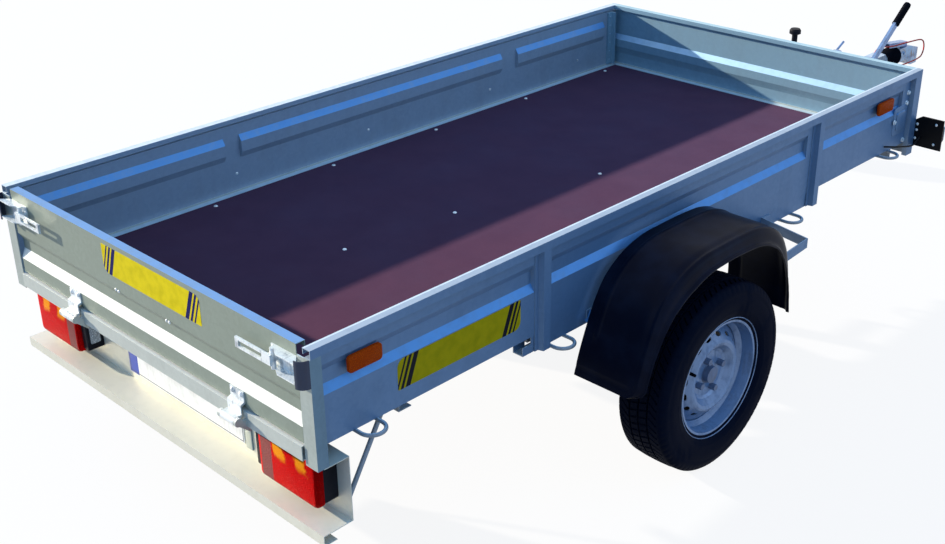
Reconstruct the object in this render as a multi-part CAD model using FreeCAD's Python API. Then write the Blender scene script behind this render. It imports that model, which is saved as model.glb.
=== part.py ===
"""Braked box trailer on one torsion axle, with a drop tailgate, an overrun coupling and a jockey wheel.

The row's axes are +X to the trailer's right, +Y forward towards the coupling and +Z up. Lengths are in
millimetres. While the model is built, Y is zero at the rear face of the box and Z is zero on the ground.
At the end everything is moved along Y, so that the origin lies under the middle of the whole trailer.
"""
import FreeCAD, Part
import math
import os

os.makedirs("parts", exist_ok=True)
Vec = FreeCAD.Vector

# Load box
box_width = 1340.0
box_length = 2640.0
side_height = 255.0
sheet_bottom_height = 527.0
sheet = 2.0
rim_width = 25.0
rim_lip = 15.0
rim_face = 22.0
post_depth = 5.0
sheet_inset = 16.5
bottom_flange = 30.0
swage_depth = 12.0
side_swage_height = 75.0
side_swage_drop = 35.0
swage_slope = 21.0
swage_shoulder = 20.0
end_swage_height = 77.0
end_swage_bottom = 49.0
front_swage_bottom = 60.0
end_swage_slope = 28.0
floor_thickness = 12.0
angle_height = 5.0
angle_width = 25.0
angle_sheet = 1.5

# Posts of the load box
post_sheet = 3.0
post_drop = 46.0
rear_post_side = 28.0
rear_post_face = 42.0
mid_post_width = 60.0
mid_post_sheet = 2.0
mid_post_flange = 12.0
mid_post_slope = 5.0
mid_post_drop = 46.0
mid_post_rear = 710.0
mid_post_setback = 660.0
front_post_side = 40.0
front_post_face = 60.0
swage_end_margin = 24.0

# Frame under the floor
rail_inset = 18.0
rail_height = 46.0
rail_width = 34.0
rail_sheet = 3.0
rail_overhang = 41.0
rail_foot_height = 24.0
crossmember_height = 42.0
crossmember_width = 40.0
crossmember_sheet = 2.5
crossmember_count = 5
front_beam_width = 98.0
front_beam_inset = 27.0
beam_height = 38.0
beam_reach = 60.0
beam_stand_off = 8.0
beam_lip = 10.0
beam_sheet = 2.5
drawbar_tube = 60.0
drawbar_wall = 3.0
drawbar_rear_inset = 200.0
drawbar_front_spread = 60.0
drawbar_rear_gap = 70.0
drawbar_reach = 755.0

# Axle, brakes and wheels
axle_setback = 106.0
tyre_radius = 278.0
tyre_width = 156.0
bead_radius = 165.0
tread_share = 0.74
shoulder_shares = (0.93, 0.2)
sidewall_share = 0.48
bulge_shares = (0.965, 0.22)
wheel_gap = 69.5
rim_flange_radius = 179.0
rim_well_radius = 148.0
rim_half_width = 68.0
rim_sheet = 3.0
well_shares = (-0.55, -0.38, 0.22, 0.42)
disc_sheet = 4.0
disc_face = 25.0
disc_dish = 25.0
vent_count = 16
vent_circle = 120.0
vent_length = 24.0
vent_width = 15.0
disc_shares = ((-0.68, 1.0), (-0.44, 0.973), (0.32, 0.828), (0.92, 0.71), (1.0, 0.669), (0.88, 0.607),
               (0.2, 0.51), (0.0, 0.455))
bolt_circle = 100.0
bolt_count = 4
bolt_head = 9.5
bolt_head_height = 19.0
bolt_shank_share = 0.7
bolt_corners = 6
hub_bore_radius = 29.0
cap_radius = 24.0
cap_height = 21.0
drum_radius = 108.0
drum_depth = 60.0
drum_chamfer = 14.0
drum_face_share = 0.66
spindle_radius = 15.0
spindle_gap = 0.3
spindle_length = 95.0
brake_gap = 5.0
back_plate_radius = 112.0
back_plate_sheet = 3.0
arm_thickness = 20.0
arm_tyre_gap = 6.0
arm_length = 122.0
arm_rise = 30.0
arm_boss = 34.0
axle_tube = 70.0
axle_bracket_width = 120.0
axle_bracket_sheet = 6.0

# Fenders
fender_sheet = 3.0
fender_tyre_gap = 62.5
fender_width = 220.0
fender_side_radius = 46.0
fender_rear = 374.0
fender_front = 321.0
fender_tail_height = 367.0
fender_top_height = 686.0
fender_rear_knee = 206.0
fender_rear_radius_share = 0.41
fender_front_radius_share = 0.705
fender_bead = 4.0
fender_bead_width = 14.0
fender_bead_shares = (1.0, 1.3, 1.9, 2.2)
fender_outer_bead_shares = (2.2, 1.8, 0.9)
fender_side_steps = 4
fender_lip = 9.0
stay_height = 30.0
stay_sheet = 4.0
stay_foot = 42.0
stay_drop = 6.0
stay_inset = 67.0
stay_skew = 38.0
front_stay_setback = 518.0

# Tailgate and its hinges
gate_gap = 5.0
gate_side_gap = 5.0
hinge_places = (-335.0, 385.0)
hinge_width = 70.0
hinge_leaf = 3.0
hinge_leaf_top = 48.0
hinge_drop = 20.0
hinge_stand_off = 28.0
hinge_pin_radius = 6.0
hinge_pin_gap = 0.3
hinge_eye_radius = 11.0
hinge_ear = 8.0
hinge_ear_gap = 1.0

# Latches at the top corners of the tailgate
latch_drop = 55.0
latch_plate_width = 90.0
latch_plate_height = 52.0
latch_plate = 3.0
latch_handle_length = 102.0
latch_handle_height = 26.0
latch_stand_off = 26.0
latch_bar = 6.0
keeper_radius = 24.0
keeper_sheet = 3.0
keeper_width = 34.0
keeper_gap = 0.4

# Rear light bar, lamps and plate
bar_web_place = 85.0
bar_flange = 70.0
bar_drop = 175.0
bar_sheet = 2.0
bar_shelf_rear = 0.0
bar_lip = 24.0
bar_hem = 36.0
lamp_inset = 44.0
lamp_width = 214.0
lamp_height = 124.0
lamp_depth = 62.0
lamp_top_gap = 15.0
lamp_corner = 12.0
plate_lamp_width = 26.0
plate_lamp_height = 100.0
plate_lamp_share = 0.8
plate_length = 520.0
plate_height = 110.0
plate_sheet = 2.0
plate_offset = 5.0
plate_top_gap = 42.0
stay_rod_radius = 6.0
stay_rod_top = 210.0
stay_rod_inset = 30.0
stay_rod_foot = 26.0

# Side reflectors and rope hooks
reflector_length = 97.0
reflector_height = 42.0
reflector_depth = 8.5
reflector_rear_place = 155.0
reflector_front_setback = 212.0
reflector_rise = 48.0
hook_rod_radius = 5.0
hook_reach = 49.0
hook_width = 64.0
hook_rear_place = 155.0
hook_post_gaps = (90.0, 102.0)
hook_front_setback = 174.0
hook_foot = 26.0

# Front marker lamps
marker_bracket_width = 118.0
marker_bracket_height = 108.0
marker_bracket_sheet = 5.0
marker_bracket_top = 92.0
marker_bracket_cut = (40.0, 26.0)
marker_bracket_heel = 14.0
marker_bracket_reach = 100.0
marker_lamp_width = 66.0
marker_lamp_height = 58.0
marker_lamp_depth = 30.0

# Overrun coupling
coupling_drop = 37.0
coupling_half_width = 40.0
coupling_overlap = 65.0
coupling_length = 310.0
coupling_body_height = 70.0
coupling_wall = 6.0
coupling_plate_half = 88.0
shaft_radius = 22.0
bellows_radius = 42.0
nose_length = 22.0
nose_share = 0.45
bellows_length = 110.0
bellows_folds = 6
bellows_root_share = 0.8
head_length = 188.0
head_half_width = 34.0
neck_half_width = 24.0
head_rise = 28.0
head_drop = 58.0
neck_drop = 32.0
nose_drop = 14.0
ball_setback = 55.0
ball_radius = 25.0
ball_drop = 30.0
socket_gap = 1.0
handle_setback = 55.0
handle_length = 155.0
handle_half_width = 17.0
handle_sheet = 3.0
handle_depth = 20.0
handle_rise = 21.0
handle_lug = 10.0
handle_pin_radius = 4.0
lever_side = 38.0
lever_setback = 102.0
lever_pivot_drop = 10.0
lever_bar_width = 26.0
lever_bar_thickness = 12.0
lever_boss_share = 0.8
lever_pin_share = 0.3
lever_angle = 37.8
grip_radius = 16.0
grip_length = 118.0
grip_socket_share = 0.9
lever_total = 405.0

# Jockey wheel
jockey_side = -150.0
jockey_setback = 210.0
jockey_tube_radius = 24.0
jockey_tube_wall = 3.0
jockey_tube_gap = 18.0
jockey_tube_length = 237.0
jockey_wheel_radius = 100.0
jockey_wheel_width = 50.0
jockey_axle_radius = 6.0
jockey_axle_gap = 0.3
jockey_trail = 42.0
jockey_fork_sheet = 4.0
jockey_fork_gap = 6.0
jockey_fork_crown = 14.0
fork_rear_share = 1.6
fork_crown_share = 1.5
fork_tip_shares = (0.7, 0.6)
jockey_stem_radius = 12.0
jockey_stem_gap = 0.3
jockey_turn_gap = 5.0
clamp_height = 58.0
clamp_wall = 6.0
clamp_gap = 0.3
clamp_drop = 14.0
clamp_handle_length = 130.0
clamp_handle_radius = 5.0
crank_radius = 182.0
crank_bar_radius = 6.0
crank_boss_radius = 10.0
crank_boss_height = 20.0
crank_pin_radius = 5.0
crank_angle = 214.0
knob_radius = 24.5
knob_height = 92.0
knob_shares = ((0.5, 0.0), (0.5, 0.7), (1.0, 0.77), (1.0, 0.92), (0.8, 1.0))

# Cords
breakaway_radius = 3.0
marker_cord_radius = 3.0
cord_bend_share = 0.45

# Shared clearances
overrun = 5.0
pattern_gap = 0.3

# Places worked out from the sizes above
half_width = box_width / 2
sheet_out = half_width - sheet_inset
rim_height = sheet_bottom_height + side_height
floor_bottom = sheet_bottom_height + sheet
floor_top = floor_bottom + floor_thickness
side_swage_top = side_height - rim_face - side_swage_drop
side_swage_bottom = side_swage_top - side_swage_height
end_swage_top = end_swage_bottom + end_swage_height
latch_height = side_height - latch_drop
mid_post_front = box_length - mid_post_setback
front_beam_front = box_length - front_beam_inset
front_beam_rear = front_beam_front - front_beam_width
axle_place = box_length / 2 - axle_setback
wheel_centre = half_width + wheel_gap + tyre_width / 2
fender_inner = half_width + wheel_gap - fender_tyre_gap
fender_outer = fender_inner + fender_width
stay_reach = fender_outer - stay_inset
front_stay_place = axle_place + front_stay_setback
fender_rise = fender_top_height - fender_tail_height
fender_rear_radius = fender_rise * fender_rear_radius_share
fender_front_radius = fender_rise * fender_front_radius_share
lamp_outer = half_width - lamp_inset
lamp_inner = lamp_outer - lamp_width
reflector_places = (reflector_rear_place, box_length - reflector_front_setback)
reflector_centre = side_swage_bottom + reflector_rise
hook_places = (hook_rear_place, mid_post_rear + hook_post_gaps[0], mid_post_front - hook_post_gaps[1],
               box_length - hook_front_setback)
marker_bracket_outer = half_width + marker_bracket_reach
drawbar_top = floor_bottom - crossmember_height
drawbar_rear_spread = half_width - drawbar_rear_inset
drawbar_rear_place = mid_post_rear - drawbar_rear_gap
drawbar_front_place = box_length + drawbar_reach
coupling_height = drawbar_top - coupling_drop
coupling_rear = drawbar_front_place - coupling_overlap
coupling_front = coupling_rear + coupling_length
bellows_rear = coupling_front + nose_length
bellows_front = bellows_rear + bellows_length
head_rear = bellows_front
head_front = head_rear + head_length
head_top_height = coupling_height + head_rise
head_bottom_height = coupling_height - head_drop
head_neck_height = coupling_height - neck_drop
head_nose_height = coupling_height - nose_drop
ball_place = head_front - ball_setback
ball_height = coupling_height - ball_drop
handle_front = ball_place - handle_setback
lever_place = (lever_side, coupling_rear + lever_setback)
lever_pivot_height = coupling_height - lever_pivot_drop
jockey_place = (jockey_side, coupling_rear + jockey_setback)
jockey_fork_height = 2 * jockey_wheel_radius + jockey_fork_crown
jockey_tube_bottom = jockey_fork_height + jockey_tube_gap
jockey_tube_top = jockey_tube_bottom + jockey_tube_length
ring = 360.0


def block(x0, x1, y0, y1, z0, z1):
    """Return a box between two corners, given in any order."""
    corner = Vec(min(x0, x1), min(y0, y1), min(z0, z1))
    return Part.makeBox(abs(x1 - x0), abs(y1 - y0), abs(z1 - z0), corner)


def rod(start, end, radius):
    """Return a round bar between two points."""
    line = end.sub(start)
    return Part.makeCylinder(radius, line.Length, start, line)


def face_of(points):
    """Return a flat face inside a closed ring of points."""
    return Part.Face(Part.makePolygon(list(points) + [points[0]]))


def along_y(points, y0, y1):
    """Return a bar whose section is (x, z) points and that runs from y0 to y1."""
    return face_of([Vec(x, y0, z) for x, z in points]).extrude(Vec(0, y1 - y0, 0))


def along_x(points, x0, x1):
    """Return a bar whose section is (y, z) points and that runs from x0 to x1."""
    return face_of([Vec(x0, y, z) for y, z in points]).extrude(Vec(x1 - x0, 0, 0))


def along_z(points, z0, z1):
    """Return a bar whose section is (x, y) points and that runs from z0 to z1."""
    return face_of([Vec(x, y, z0) for x, y in points]).extrude(Vec(0, 0, z1 - z0))


def offset_line(points, distance):
    """Return a line of points moved sideways to its left by a distance, with mitred corners."""
    moved = []
    last = len(points) - 1
    for index, (a, b) in enumerate(points):
        before = points[max(index - 1, 0)]
        after = points[min(index + 1, last)]
        sides = []
        for start, end in ((before, (a, b)), ((a, b), after)):
            run = math.hypot(end[0] - start[0], end[1] - start[1])
            if run > 0:
                sides.append(((start[1] - end[1]) / run, (end[0] - start[0]) / run))
        first, second = sides[0], sides[-1]
        scale = distance / (1 + first[0] * second[0] + first[1] * second[1])
        moved.append((a + (first[0] + second[0]) * scale, b + (first[1] + second[1]) * scale))
    return moved


def bent(points, thickness):
    """Return the closed section of a folded sheet that lies to the left of a line of points."""
    return list(points) + offset_line(points, thickness)[::-1]


def mirrored(shape):
    """Return the same piece on the other side of the trailer."""
    return shape.mirror(Vec(0, 0, 0), Vec(1, 0, 0))


def both_sides(shape):
    """Return a piece of the right side together with its mirrored twin."""
    return Part.makeCompound([shape, mirrored(shape)])


def turned(points, centre):
    """Return a solid turned about a line along X from (x, radius) points round a centre (y, z)."""
    section = face_of([Vec(x, 0, radius) for x, radius in points])
    solid = section.revolve(Vec(0, 0, 0), Vec(1, 0, 0), ring)
    return solid.translated(Vec(0, centre[0], centre[1]))


def joined(shapes):
    """Return several overlapping solids as one."""
    whole = shapes[0]
    for shape in shapes[1:]:
        whole = whole.fuse(shape)
    return whole.removeSplitter()


def deep_edges(shape):
    """Return the edges of a block that run along Y."""
    return [edge for edge in shape.Edges if edge.Vertexes[0].Point.distanceToPoint(edge.Vertexes[1].Point)
            == abs(edge.Vertexes[0].Point.y - edge.Vertexes[1].Point.y)]


def side_section(swaged):
    """Return the folded section of a side sheet, as (x, z) points from its bottom flange to its rim."""
    base = sheet_bottom_height
    section = [(sheet_out - bottom_flange, base), (sheet_out, base)]
    if swaged:
        low = base + side_swage_bottom
        high = base + side_swage_top
        inner = sheet_out - swage_depth
        section += [(sheet_out, low), (inner, low + swage_slope), (inner, high - swage_shoulder)]
        section += [(sheet_out, high)]
    rim_bottom = rim_height - rim_face
    section += [(sheet_out, rim_bottom), (half_width, rim_bottom), (half_width, rim_height)]
    section += [(half_width - rim_width, rim_height), (half_width - rim_width, rim_height - rim_lip)]
    return bent(section, sheet)


def wall_sections():
    """Return the (start, end, swaged) stretches of a side sheet, flat where the posts stand."""
    mid_posts = (mid_post_rear, mid_post_front)
    edges = [(rear_post_side, mid_posts[0])]
    edges += [(mid_posts[0] + mid_post_width, mid_posts[1] - swage_end_margin)]
    edges += [(mid_posts[1] + mid_post_width, box_length - front_post_side - 2 * swage_end_margin)]
    return edges


def side_wall():
    """Return the right side sheet with its three pressed swages and folded rim."""
    flat = along_y(side_section(False), 0, box_length)
    corner = block(sheet_out - bottom_flange - overrun, half_width + overrun, box_length - post_depth,
                   box_length + overrun,
                   sheet_bottom_height - overrun, rim_height - rim_face)
    flat = flat.cut(corner)
    low = sheet_bottom_height + side_swage_bottom
    high = sheet_bottom_height + side_swage_top
    inner = sheet_out - swage_depth
    for start, end in wall_sections():
        band = block(sheet_out - sheet - overrun, sheet_out + overrun, start, end, low, high)
        flat = flat.cut(band)
        press = [(sheet_out, low), (inner, low + swage_slope), (inner, high - swage_shoulder), (sheet_out,
                high)]
        pressed = along_y(bent(press, sheet), start, end)
        reach = block(inner - 2 * sheet, sheet_out, start, end, low - sheet, high + sheet)
        cap = [press[0], press[3], (inner - sheet, high - swage_shoulder), (inner - sheet, low + swage_slope)]
        caps = [along_y(cap, start, start + sheet), along_y(cap, end - sheet, end)]
        flat = joined([flat, pressed.common(reach)] + caps)
    return flat


def front_wall():
    """Return the front sheet with its swage, rim and bottom flange."""
    outer = box_length - post_depth
    base = sheet_bottom_height
    low = base + front_swage_bottom
    high = low + end_swage_height
    rim_bottom = rim_height - rim_face
    line = [(outer - bottom_flange, base), (outer, base), (outer, low), (outer - swage_depth,
            low + end_swage_slope)]
    line += [(outer - swage_depth, high - swage_shoulder), (outer, high), (outer, rim_bottom)]
    line += [(box_length, rim_bottom), (box_length, rim_height)]
    line += [(box_length - rim_width, rim_height), (box_length - rim_width, rim_height - rim_lip)]
    reach = sheet_out - sheet
    wall = along_x(bent(line, sheet), -reach, reach)
    flange = block(sheet_out - bottom_flange, half_width, outer - bottom_flange, outer, base, base + sheet)
    rim = block(half_width - rim_width, half_width, outer - rim_width, box_length, rim_bottom, rim_height)
    for corner in (flange, rim):
        wall = wall.cut(corner).cut(mirrored(corner))
    return wall


def rear_post():
    """Return the right rear corner post, an angle that wraps the side sheet."""
    bottom = sheet_bottom_height - post_drop
    section = [(half_width - rear_post_face, -post_sheet), (half_width, -post_sheet)]
    section += [(half_width, rear_post_side), (sheet_out, rear_post_side)]
    section += [(sheet_out, rear_post_side - post_sheet), (half_width - post_depth,
                                                           rear_post_side - post_sheet)]
    section += [(half_width - post_depth, 0), (half_width - rear_post_face, 0)]
    return along_z(section, bottom, rim_height - rim_face)


def front_post():
    """Return the right front corner post, an angle outside the front and side sheets."""
    bottom = sheet_bottom_height - post_drop
    section = [(half_width, box_length - front_post_side), (half_width, box_length)]
    section += [(half_width - front_post_face, box_length), (half_width - front_post_face,
                                                             box_length - post_depth)]
    section += [(half_width - post_depth, box_length - post_depth)]
    start = box_length - front_post_side
    section += [(half_width - post_depth, start + post_sheet), (sheet_out, start + post_sheet), (sheet_out,
            start)]
    return along_z(section, bottom, rim_height - rim_face)


def mid_post(place):
    """Return one middle post of the right side, a pressed channel with a raised rib between its flanges."""
    bottom = sheet_bottom_height - mid_post_drop
    start, end = place, place + mid_post_width
    seat = sheet_out + mid_post_sheet
    slope = mid_post_slope
    line = [(seat, start), (seat, start + mid_post_flange), (half_width, start + mid_post_flange + slope)]
    line += [(half_width, end - mid_post_flange - slope), (seat, end - mid_post_flange), (seat, end)]
    return along_z(bent(line, mid_post_sheet), bottom, rim_height - rim_face)


def floor_panel():
    """Return the plywood floor, with a shallow rebate along three edges that the strips lie in."""
    reach = sheet_out - sheet
    rear = rim_width + 2 * gate_gap
    front = box_length - post_depth - sheet
    panel = block(-reach, reach, rear, front, floor_bottom, floor_top)
    margin = angle_width + pattern_gap
    seat = floor_top - angle_sheet
    upper = block(-reach - overrun, reach + overrun, rear - overrun, front + overrun, seat,
                  floor_top + overrun)
    field = block(margin - reach, reach - margin, rear - 2 * overrun, front - margin, seat,
                  floor_top + overrun)
    return panel.cut(upper.cut(field))


def floor_angles():
    """Return the folded strips that close the joint between the floor and the walls."""
    edge = sheet_out - sheet
    seat = floor_top - angle_sheet
    side = [(edge - angle_width, seat), (edge, seat), (edge, floor_top + angle_height)]
    strip = along_y(bent(side, angle_sheet), rim_width + 2 * gate_gap,
                    box_length - post_depth - sheet - angle_width)
    front = box_length - post_depth - sheet
    line = [(front - angle_width, seat), (front, seat), (front, floor_top + angle_height)]
    reach = edge - angle_sheet
    return Part.makeCompound([strip, mirrored(strip), along_x(bent(line, angle_sheet), -reach, reach)])


def frame_rail():
    """Return the right frame rail, a channel under the side sheet from one middle post to the other."""
    outer = half_width - rail_inset
    top = sheet_bottom_height
    bottom = top - rail_height
    line = [(outer - rail_width, top), (outer, top), (outer, bottom), (outer - rail_width, bottom)]
    start = mid_post_rear - rail_overhang / 4
    rail = along_y(bent(line[::-1], rail_sheet), start, mid_post_front + mid_post_width)
    foot = [(outer - rail_width, bottom + rail_foot_height), (outer - rail_width, bottom), (outer, bottom)]
    foot += [(outer, bottom + rail_foot_height)]
    runner = along_y(bent(foot, rail_sheet), mid_post_rear - rail_overhang, mid_post_rear)
    return joined([rail, runner])


def crossmembers():
    """Return the channels under the floor, between the frame rails or else the side flanges."""
    between_rails = half_width - rail_inset - rail_width
    between_flanges = sheet_out - bottom_flange
    top = floor_bottom
    bottom = top - crossmember_height
    first = 2 * beam_reach + bar_web_place + bar_flange
    pitch = (front_beam_rear - first) / crossmember_count
    pieces = []
    for index in range(crossmember_count):
        start = first + pitch * index
        end = start + crossmember_width
        reach = between_rails if mid_post_rear < start < mid_post_front else between_flanges
        line = [(end, top), (start, top), (start, bottom), (end, bottom)]
        pieces.append(along_x(bent(line, crossmember_sheet), -reach, reach))
    return Part.makeCompound(pieces)


def front_beam():
    """Return the wide channel under the front of the box, which the drawbar tubes are bolted to."""
    reach = half_width - rail_inset
    top = sheet_bottom_height
    start, end = front_beam_rear, front_beam_front
    line = [(start, drawbar_top), (start, top), (end, top), (end, drawbar_top)]
    return along_x(bent(line, -crossmember_sheet), -reach, reach)


def hinge_beam():
    """Return the rear crossmember under the tailgate, with the two hinge brackets and their pins."""
    top = floor_bottom
    reach = sheet_out - bottom_flange
    rear = -beam_stand_off
    line = [(beam_reach, top), (rear, top), (rear, top - beam_height), (rear + beam_lip * 2,
            top - beam_height)]
    beam = along_x(bent(line, beam_sheet), -reach, reach)
    solids = [beam]
    pivot = Vec(0, -hinge_stand_off, top - hinge_drop)
    for place in hinge_places:
        eye = hinge_width / 2 - hinge_ear
        for side in (-1, 1):
            x0 = place + side * eye
            x1 = place + side * hinge_width / 2
            low = top - beam_height
            ear = [(pivot.y - hinge_eye_radius, pivot.z), (pivot.y, pivot.z - hinge_eye_radius)]
            ear += [(rear + beam_lip, low - beam_lip * 2), (rear + beam_lip * 2, low), (rear, low), (rear,
                    pivot.z)]
            plate = along_x(ear, x0, x1)
            boss = Part.makeCylinder(hinge_eye_radius, x1 - x0 if x1 > x0 else x0 - x1,
                                     Vec(min(x0, x1), pivot.y, pivot.z), Vec(1, 0, 0))
            solids += [plate, boss]
        pin = Part.makeCylinder(hinge_pin_radius, hinge_width, Vec(place - hinge_width / 2, pivot.y, pivot.z),
                                Vec(1, 0, 0))
        solids.append(pin)
    return joined(solids)


def tailgate_panel():
    """Return the drop tailgate, one folded sheet with a swage, a rim and closed ends."""
    reach = half_width - rear_post_face - gate_side_gap
    bottom = floor_bottom + gate_gap
    base = sheet_bottom_height
    low = base + end_swage_bottom
    high = base + end_swage_top
    line = [(rim_width, bottom), (0, bottom), (0, low), (swage_depth, low + end_swage_slope)]
    line += [(swage_depth, high - swage_shoulder), (0, high), (0, rim_height)]
    line += [(rim_width, rim_height), (rim_width, rim_height - rim_lip)]
    panel = along_x(bent(line[::-1], sheet), -reach, reach)
    return panel


def tailgate_hinges():
    """Return the two hinge leaves bolted low on the tailgate, each with an eye round its pin."""
    top = floor_bottom
    pivot_y, pivot_z = -hinge_stand_off, top - hinge_drop
    eye_half = hinge_width / 2 - hinge_ear - hinge_ear_gap
    leaf_top = sheet_bottom_height + hinge_leaf_top
    stand = beam_stand_off + pattern_gap * 10
    leaves = []
    for place in hinge_places:
        eye = Part.makeCylinder(hinge_eye_radius, 2 * eye_half, Vec(place - eye_half, pivot_y, pivot_z),
                                Vec(1, 0, 0))
        arm = [(pivot_y, pivot_z), (pivot_y + hinge_eye_radius, pivot_z), (-stand,
                pivot_z + hinge_eye_radius)]
        arm += [(-stand, top + 2 * gate_gap), (0, top + 3 * gate_gap), (0, leaf_top), (-hinge_leaf, leaf_top)]
        arm += [(-hinge_leaf, top + 4 * gate_gap), (-stand - hinge_leaf, top + 3 * gate_gap)]
        arm += [(-stand - hinge_leaf, pivot_z + hinge_eye_radius), (pivot_y, pivot_z + hinge_eye_radius)]
        plate = along_x(arm, place - eye_half, place + eye_half)
        bore = Part.makeCylinder(hinge_pin_radius + hinge_pin_gap, 2 * hinge_width,
                                 Vec(place - hinge_width, pivot_y, pivot_z), Vec(1, 0, 0))
        leaves.append(joined([eye, plate]).cut(bore))
    return Part.makeCompound(leaves)


def tailgate_latch():
    """Return the right over-centre latch: base plate, open lever frame and hook plate over the post."""
    centre = sheet_bottom_height + latch_height
    post_edge = half_width - rear_post_face
    inner = post_edge - latch_plate_width
    half = latch_plate_height / 2
    front = 0.0
    rear = -latch_stand_off
    tip = half_width - keeper_radius - keeper_gap
    base = block(inner, post_edge - gate_side_gap, front - latch_plate, front, centre - half, centre + half)
    hinge = rod(Vec(inner + latch_bar * 3, -latch_stand_off / 2, centre - half),
                Vec(inner + latch_bar * 3, -latch_stand_off / 2, centre + half), latch_bar)
    cheeks = []
    for level in (centre - half, centre + half - latch_plate):
        cheek = [(inner, front), (inner + latch_plate_width / 2, rear), (tip, rear)]
        cheek += [(tip, rear + latch_bar), (post_edge - gate_side_gap, front)]
        cheeks.append(along_z(cheek, level, level + latch_plate))
    handle_end = inner - latch_handle_length
    frame = block(handle_end, inner + latch_bar * 4, rear, rear + latch_bar, centre - latch_handle_height / 2,
                  centre + latch_handle_height / 2)
    window = block(handle_end + latch_bar * 2, inner - latch_bar, rear - overrun, rear + latch_bar + overrun,
                   centre - latch_handle_height / 2 + latch_bar, centre + latch_handle_height / 2 - latch_bar)
    link = block(inner, inner + latch_bar * 4, rear, front, centre - latch_bar, centre + latch_bar)
    return joined([base, hinge] + cheeks + [frame.cut(window), link])


def latch_keeper():
    """Return the right keeper, a curved plate standing on the rear face of the corner post."""
    centre = sheet_bottom_height + latch_height
    low = centre - keeper_width
    outer = Vec(half_width - keeper_radius, -post_sheet, low)
    drum = Part.makeCylinder(keeper_radius, 2 * keeper_width, outer, Vec(0, 0, 1))
    hollow = Part.makeCylinder(keeper_radius - keeper_sheet, 2 * keeper_width, outer, Vec(0, 0, 1))
    behind = block(half_width - keeper_radius, half_width, -post_sheet - keeper_radius, -post_sheet, low,
                   low + 2 * keeper_width)
    return drum.cut(hollow).common(behind)


def drawbar():
    """Return the right drawbar tube, which runs under the floor and in to the coupling."""
    top = drawbar_top
    rear = Vec(drawbar_rear_spread, drawbar_rear_place, top)
    front = Vec(drawbar_front_spread, drawbar_front_place, top)
    run = front.sub(rear)
    across = Vec(run.y, -run.x, 0)
    across.normalize()
    half = drawbar_tube / 2

    def tube(side, low, high, extra):
        """Return one prism along the tube with the given half width and heights."""
        step = Vec(run).normalize().multiply(extra)
        a = rear.sub(step)
        b = front.add(step)
        ring_points = [a.add(across * side), b.add(across * side), b.sub(across * side), a.sub(across * side)]
        flat = face_of([Vec(p.x, p.y, low) for p in ring_points])
        return flat.extrude(Vec(0, 0, high - low))

    outer = tube(half, top - drawbar_tube, top, 0)
    inner = tube(half - drawbar_wall, top - drawbar_tube + drawbar_wall, top - drawbar_wall, overrun)
    return outer.cut(inner)


def axle_beam():
    """Return the torsion axle's square tube with the two brackets that hang it from the rails."""
    centre_y = axle_place + arm_length
    centre_z = tyre_radius + arm_rise
    half = axle_tube / 2
    reach = wheel_centre - tyre_width / 2 - arm_tyre_gap - arm_thickness
    tube = block(-reach, reach, centre_y - half, centre_y + half, centre_z - half, centre_z + half)
    top = sheet_bottom_height - rail_height
    solids = [tube]
    for side in (-1, 1):
        x0 = side * (half_width - rail_inset)
        x1 = side * (half_width - rail_inset - rail_width)
        seat = block(x0, x1, centre_y - axle_bracket_width, centre_y + axle_bracket_width,
                     top - axle_bracket_sheet, top)
        web = along_x([(centre_y - axle_bracket_width, top), (centre_y + axle_bracket_width, top),
                       (centre_y + half, centre_z), (centre_y - half, centre_z)],
                      x1, x1 + side * axle_bracket_sheet)
        solids += [seat, web]
    return joined(solids)


def swing_arm():
    """Return the right trailing arm with the spindle that carries the hub."""
    x1 = wheel_centre - tyre_width / 2 - arm_tyre_gap
    x0 = x1 - arm_thickness
    pivot = Vec(x0, axle_place + arm_length, tyre_radius + arm_rise)
    wheel = Vec(x0, axle_place, tyre_radius)
    ends = [Part.makeCylinder(arm_boss, arm_thickness, point, Vec(1, 0, 0)) for point in (pivot, wheel)]
    along = pivot.sub(wheel)
    side = Vec(0, -along.z, along.y).normalize().multiply(arm_boss * 3 / 4)
    web = face_of([wheel.add(side), pivot.add(side), pivot.sub(side), wheel.sub(side)])
    arm = joined(ends + [web.extrude(Vec(arm_thickness, 0, 0))])
    spindle = Part.makeCylinder(spindle_radius, spindle_length, Vec(x1, axle_place, tyre_radius), Vec(1, 0,
            0))
    return joined([arm, spindle])


def brake_plate():
    """Return the right brake back plate, fixed on the arm beside the drum."""
    x_drum = wheel_centre + disc_face - disc_sheet - drum_depth
    x1 = x_drum - brake_gap
    x0 = wheel_centre - tyre_width / 2 - arm_tyre_gap
    plate = Part.makeCylinder(back_plate_radius, back_plate_sheet, Vec(x1 - back_plate_sheet, axle_place,
            tyre_radius),
                              Vec(1, 0, 0))
    neck = Part.makeCylinder(arm_boss, x1 - back_plate_sheet - x0, Vec(x0, axle_place, tyre_radius), Vec(1,
            0, 0))
    bore = Part.makeCylinder(spindle_radius, x1 - x0 + overrun, Vec(x0, axle_place, tyre_radius), Vec(1, 0,
            0))
    return joined([plate, neck]).cut(bore)


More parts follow.
